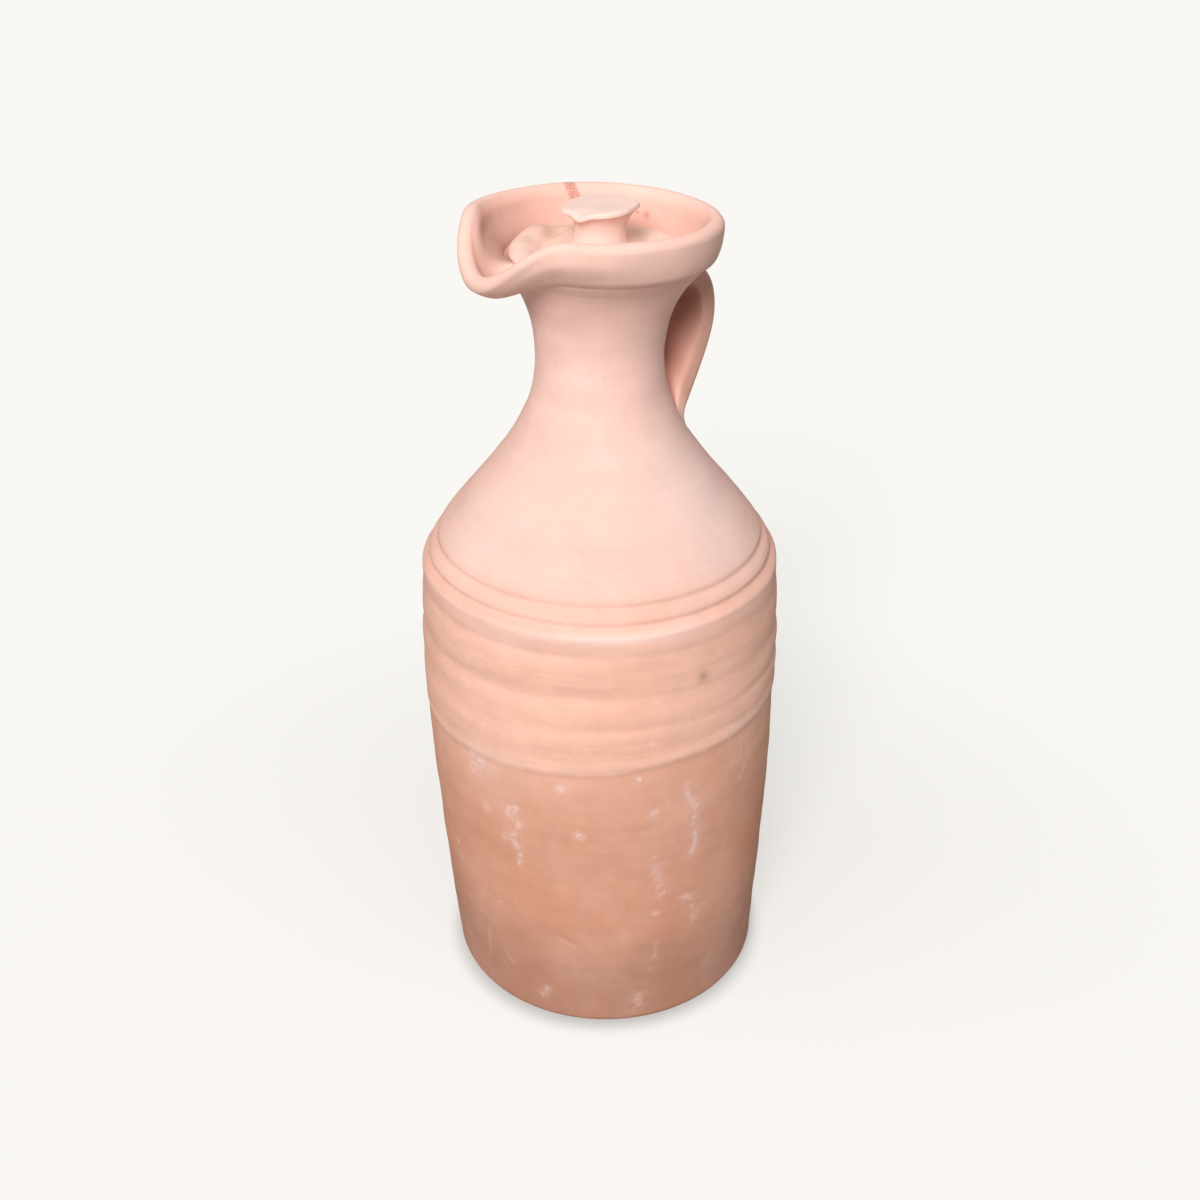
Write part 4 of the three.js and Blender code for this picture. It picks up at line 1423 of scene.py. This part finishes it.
# %% More runs and spots on the other sides
BACK_MARKS = 14
BACK_SEED = 7
BACK_ANGLES = (-45, 155)
RUN_TOPS = (0.05, 0.16)
RUN_TURNS = (2, 7)
RUN_WANDER = 2.5                  # degrees
RUN_FALL = (0.002, 0.009)
RUN_LOWEST = 0.008
RUN_WIDTHS = (0.001, 0.0024)
RUN_STRENGTHS = (0.25, 0.7)
SPOT_HEIGHTS = (0.02, 0.2)
SPOT_SIZES = (0.001, 0.0025)
SPOT_STRENGTHS = (0.35, 0.8)


def marks_behind(seed):
    """Runs and spots for the sides that the photograph doesn't show."""
    chance = np.random.default_rng(seed)
    runs, spots = [], []
    for _ in range(BACK_MARKS):
        angle, height = chance.uniform(*BACK_ANGLES), chance.uniform(*RUN_TOPS)
        line = [(angle, height)]
        for _ in range(chance.integers(*RUN_TURNS)):
            angle += chance.uniform(-RUN_WANDER, RUN_WANDER)
            height = max(RUN_LOWEST, height - chance.uniform(*RUN_FALL))
            line.append((angle, height))
        runs.append((chance.uniform(*RUN_WIDTHS), chance.uniform(*RUN_STRENGTHS), line))
        spots.append((chance.uniform(*BACK_ANGLES), chance.uniform(*SPOT_HEIGHTS),
                      chance.uniform(*SPOT_SIZES), chance.uniform(*SPOT_STRENGTHS)))
    return runs, spots


back_runs, back_spots = marks_behind(BACK_SEED)
print("runs on the other sides have", [len(line) for _, _, line in back_runs], "points")

# %% Lime on the walls
RUN_CORE = 0.50
RUN_HALO = 0.18                   # a faint band beside each run
RUN_HALO_WIDTH = 3                # times the run's own


def lime_on(points, runs, spots):
    """Strength of the lime at each point of a wall."""
    lime = np.zeros(len(points))
    for width, strength, line in runs:
        away = away_from(points, line) / width
        halo = RUN_HALO * np.exp(-(away / RUN_HALO_WIDTH) ** 2)
        lime = np.maximum(lime, strength * (RUN_CORE * np.exp(-away ** 2) + halo))
    for angle, height, size, strength in spots:
        lime = np.maximum(lime, strength * dot_on(points, angle, height, size))
    return lime


for wall in (turned_base, ringed_wall):
    wall_lime = lime_on(corners_of(wall), [*LIME_RUNS, *back_runs], [*LIME_SPOTS, *back_spots])
    paint(wall.data, "lime", wall_lime)
    print("lime on", wall.name, "has a mean of", round(float(wall_lime.mean()), 4))

# %% [markdown]
# ## Wear, stains, painted highlights and painted shade
# The plump bead has a painted highlight, the shoulder has pale patches and a painted
# highlight, and the lower wall a scratch. Inside the mouth there are a red drip and painted
# shade, and the strap has painted shade in its loop and takes the neck's tone where it was
# smeared on. Painted textures would do this too. Attributes need no picture, and each mark
# can be placed by angle and height.

# %% Painted highlights on the bead and the shoulder, smudge and pale patches
BEAD_HEIGHT = 0.2342
BEAD_WIDTH = 0.0024
BEAD_TOWARDS = 240                # the middle of the painted highlight along the bead
BEAD_HALF_LENGTH = 0.058
BEAD_HIGHLIGHT = 0.42
SMUDGE = (267.5, 0.208, 0.0028)   # a grey smudge on the ringed wall: angle, height and size
SMUDGE_STRENGTH = 0.55
# Pale patches on shoulder and neck: strength, angle in degrees, height and size. The large patch
# at 293 degrees, on the right of the shoulder, is a painted highlight.
PALE_PATCHES_AND_HIGHLIGHT = (
    (0.35, 213, 0.333, 0.007),
    (0.50, 293, 0.275, 0.034),
    (0.25, 178, 0.264, 0.024),
)

ring_corners = corners_of(ringed_wall)
around, up = unrolled(ring_corners, BEAD_TOWARDS)
# A painted highlight along the bead.
highlighted = np.exp(-((up - BEAD_HEIGHT) / BEAD_WIDTH) ** 2) * bell(np.abs(around) / BEAD_HALF_LENGTH)
paint(ringed_wall.data, "chalk_and_highlight", BEAD_HIGHLIGHT * highlighted)
paint(ringed_wall.data, "smudge", SMUDGE_STRENGTH * dot_on(ring_corners, *SMUDGE))
neck_corners = corners_of(shoulder_and_neck)
# Pale patches; the largest, on the right of the shoulder, is a painted highlight.
pale_places = [share * dot_on(neck_corners, *place) for share, *place in PALE_PATCHES_AND_HIGHLIGHT]
paint(shoulder_and_neck.data, "chalk_and_highlight", np.max(pale_places, axis=0))
print("the bead is worn at", int((highlighted > 0.5).sum()), "points")

# %% Scratch on the turned base
SCRATCH = ((221, 0.0605), (226, 0.056))
SCRATCH_WIDTH = 0.0014
SCRATCH_DEPTH = 0.0007

base_corners = corners_of(turned_base)
scratch = SCRATCH_DEPTH * np.exp(-(away_from(base_corners, SCRATCH) / SCRATCH_WIDTH) ** 2)
base_corners[:, :2] *= (1 - scratch / WALL_RADIUS)[:, None]
reshape(turned_base, base_corners)
print("the scratch is", scratch.max(), "deep")

# %% Red drip, red spots and a white fleck in the mouth
DRIP_TOP = 72                     # angle of the drip on the far lip, and of its foot
DRIP_FOOT = 69
DRIP_LOW = 0.387
DRIP_WIDTH = 0.0055
DRIP_EDGE = (0.35 * DRIP_WIDTH, 0.6 * DRIP_WIDTH)
DRIP_END = (DRIP_LOW - 0.001, DRIP_LOW + 0.001)
DRIP_STRENGTH = 0.62
RED_SPOTS = ((26, 0.3835, 0.0017), (32, 0.3845, 0.0009))
WHITE_FLECK = (93, 0.389, 0.0012)
FLECK_STRENGTH = 0.8

collar_corners = corners_of(spouted_collar)
fall = np.clip((LIP_TOP - collar_corners[:, 2]) / (LIP_TOP - DRIP_LOW), 0, 1)
sidestep = np.radians(DRIP_FOOT - DRIP_TOP) * RIM_RADIUS * fall
across = np.abs(unrolled(collar_corners, DRIP_TOP)[0] - sidestep)
inner = np.hypot(collar_corners[:, 0], collar_corners[:, 1]) < RIM_RADIUS - LIP_ROUND / 2
drip = inner * (1 - smooth_step(across, *DRIP_EDGE))
drip *= smooth_step(collar_corners[:, 2], *DRIP_END)
for spot in RED_SPOTS:
    drip = np.maximum(drip, inner * dot_on(collar_corners, *spot))
paint(spouted_collar.data, "stain", DRIP_STRENGTH * drip)
paint(spouted_collar.data, "lime", FLECK_STRENGTH * inner * dot_on(collar_corners, *WHITE_FLECK))
print("the drip covers", int((drip > 0.5).sum()), "points of the collar")

# %% Painted shade in the mouth
MOUTH_SHADE_AT = math.radians(10)        # from the middle of the spout
MOUTH_SHADE_SPREAD = math.radians(85)
MOUTH_SHADE_LEAST = 0.17
MOUTH_SHADE_MORE = 0.46
INSIDE_TURN = (-0.1, 0.3)         # how far a face may turn outwards before it counts as outside
BELOW_LIP = (0.0015, 0.0065)
BEHIND_LIP = (0.001, 0.004)


def normals_of(piece):
    flat = np.zeros(len(piece.data.vertices) * 3)
    piece.data.vertices.foreach_get("normal", flat)
    return flat.reshape(-1, 3)


def mouth_shade_on(piece):
    """Painted shade inside the mouth, most of all down in the spout."""
    points, normals = corners_of(piece), normals_of(piece)
    radius = np.hypot(points[:, 0], points[:, 1])
    outwards = (normals[:, :2] * points[:, :2]).sum(axis=1) / radius
    inside = 1 - smooth_step(outwards - normals[:, 2], *INSIDE_TURN)
    angle = np.arctan2(points[:, 1], -points[:, 0])
    share = bell(np.abs(angle) / SPOUT_HALF_ANGLE)
    opened = MOUTH_PULL * bell(np.abs(angle) / MOUTH_SPREAD)
    lip_height = LIP_TOP - share * (COLLAR_HEIGHT + SPOUT_DROP - LIP_ROUND)
    lip_height = lip_height - points[:, 0] * math.tan(MOUTH_LEAN)
    lip_radius = (lip_middle[0] + opened) * (1 - share) + SPOUT_REACH * share
    deep = smooth_step(lip_height - points[:, 2], *BELOW_LIP)
    deep = deep * smooth_step(lip_radius - radius, *BEHIND_LIP)
    return (MOUTH_SHADE_LEAST + MOUTH_SHADE_MORE * bell(np.abs(angle - MOUTH_SHADE_AT) / MOUTH_SHADE_SPREAD)) * inside * deep


# Painted shade inside the mouth, where shadow falls.
mouth_shade = mouth_shade_on(spouted_collar)
paint(spouted_collar.data, "damp", mouth_shade)
print("the dampest clay has", mouth_shade.max())

# %% Ends and loop of the strap
ROOT_FADE = (0.001, 0.009)        # distances from the neck over which the strap's own tone begins
LOOP_SHADE = 0.55                  # painted shade inside the strap's loop
LOOP_SHADE_FADE = (NECK_WAIST - 0.012, NECK_WAIST + 0.020)
LOOP_TURN = (0.3, 0.75)

strap_corners = corners_of(strap)
off_neck = np.hypot(strap_corners[:, 0], strap_corners[:, 1]) - neck_surface(strap_corners)
paint(strap.data, "root", 1 - smooth_step(off_neck, *ROOT_FADE))
# Painted shade on the inner face of the loop, stronger towards its top.
loop_inside = smooth_step(-normals_of(strap)[:, 0], *LOOP_TURN)
loop_high = smooth_step(strap_corners[:, 2], *LOOP_SHADE_FADE)
paint(strap.data, "damp", LOOP_SHADE * loop_inside * loop_high)
print("the strap stands off the neck by up to", off_neck.max())

# %% Dust on the lid
DUST_STRENGTH = 0.75

dusty = np.clip(mounds_on(corners_of(lid_saucer)) / LID_MOUNDS[0][3], 0, 1)
paint(lid_saucer.data, "dust", DUST_STRENGTH * dusty)
print("dust lies on", int((dusty > 0.5).sum()), "points of the lid")
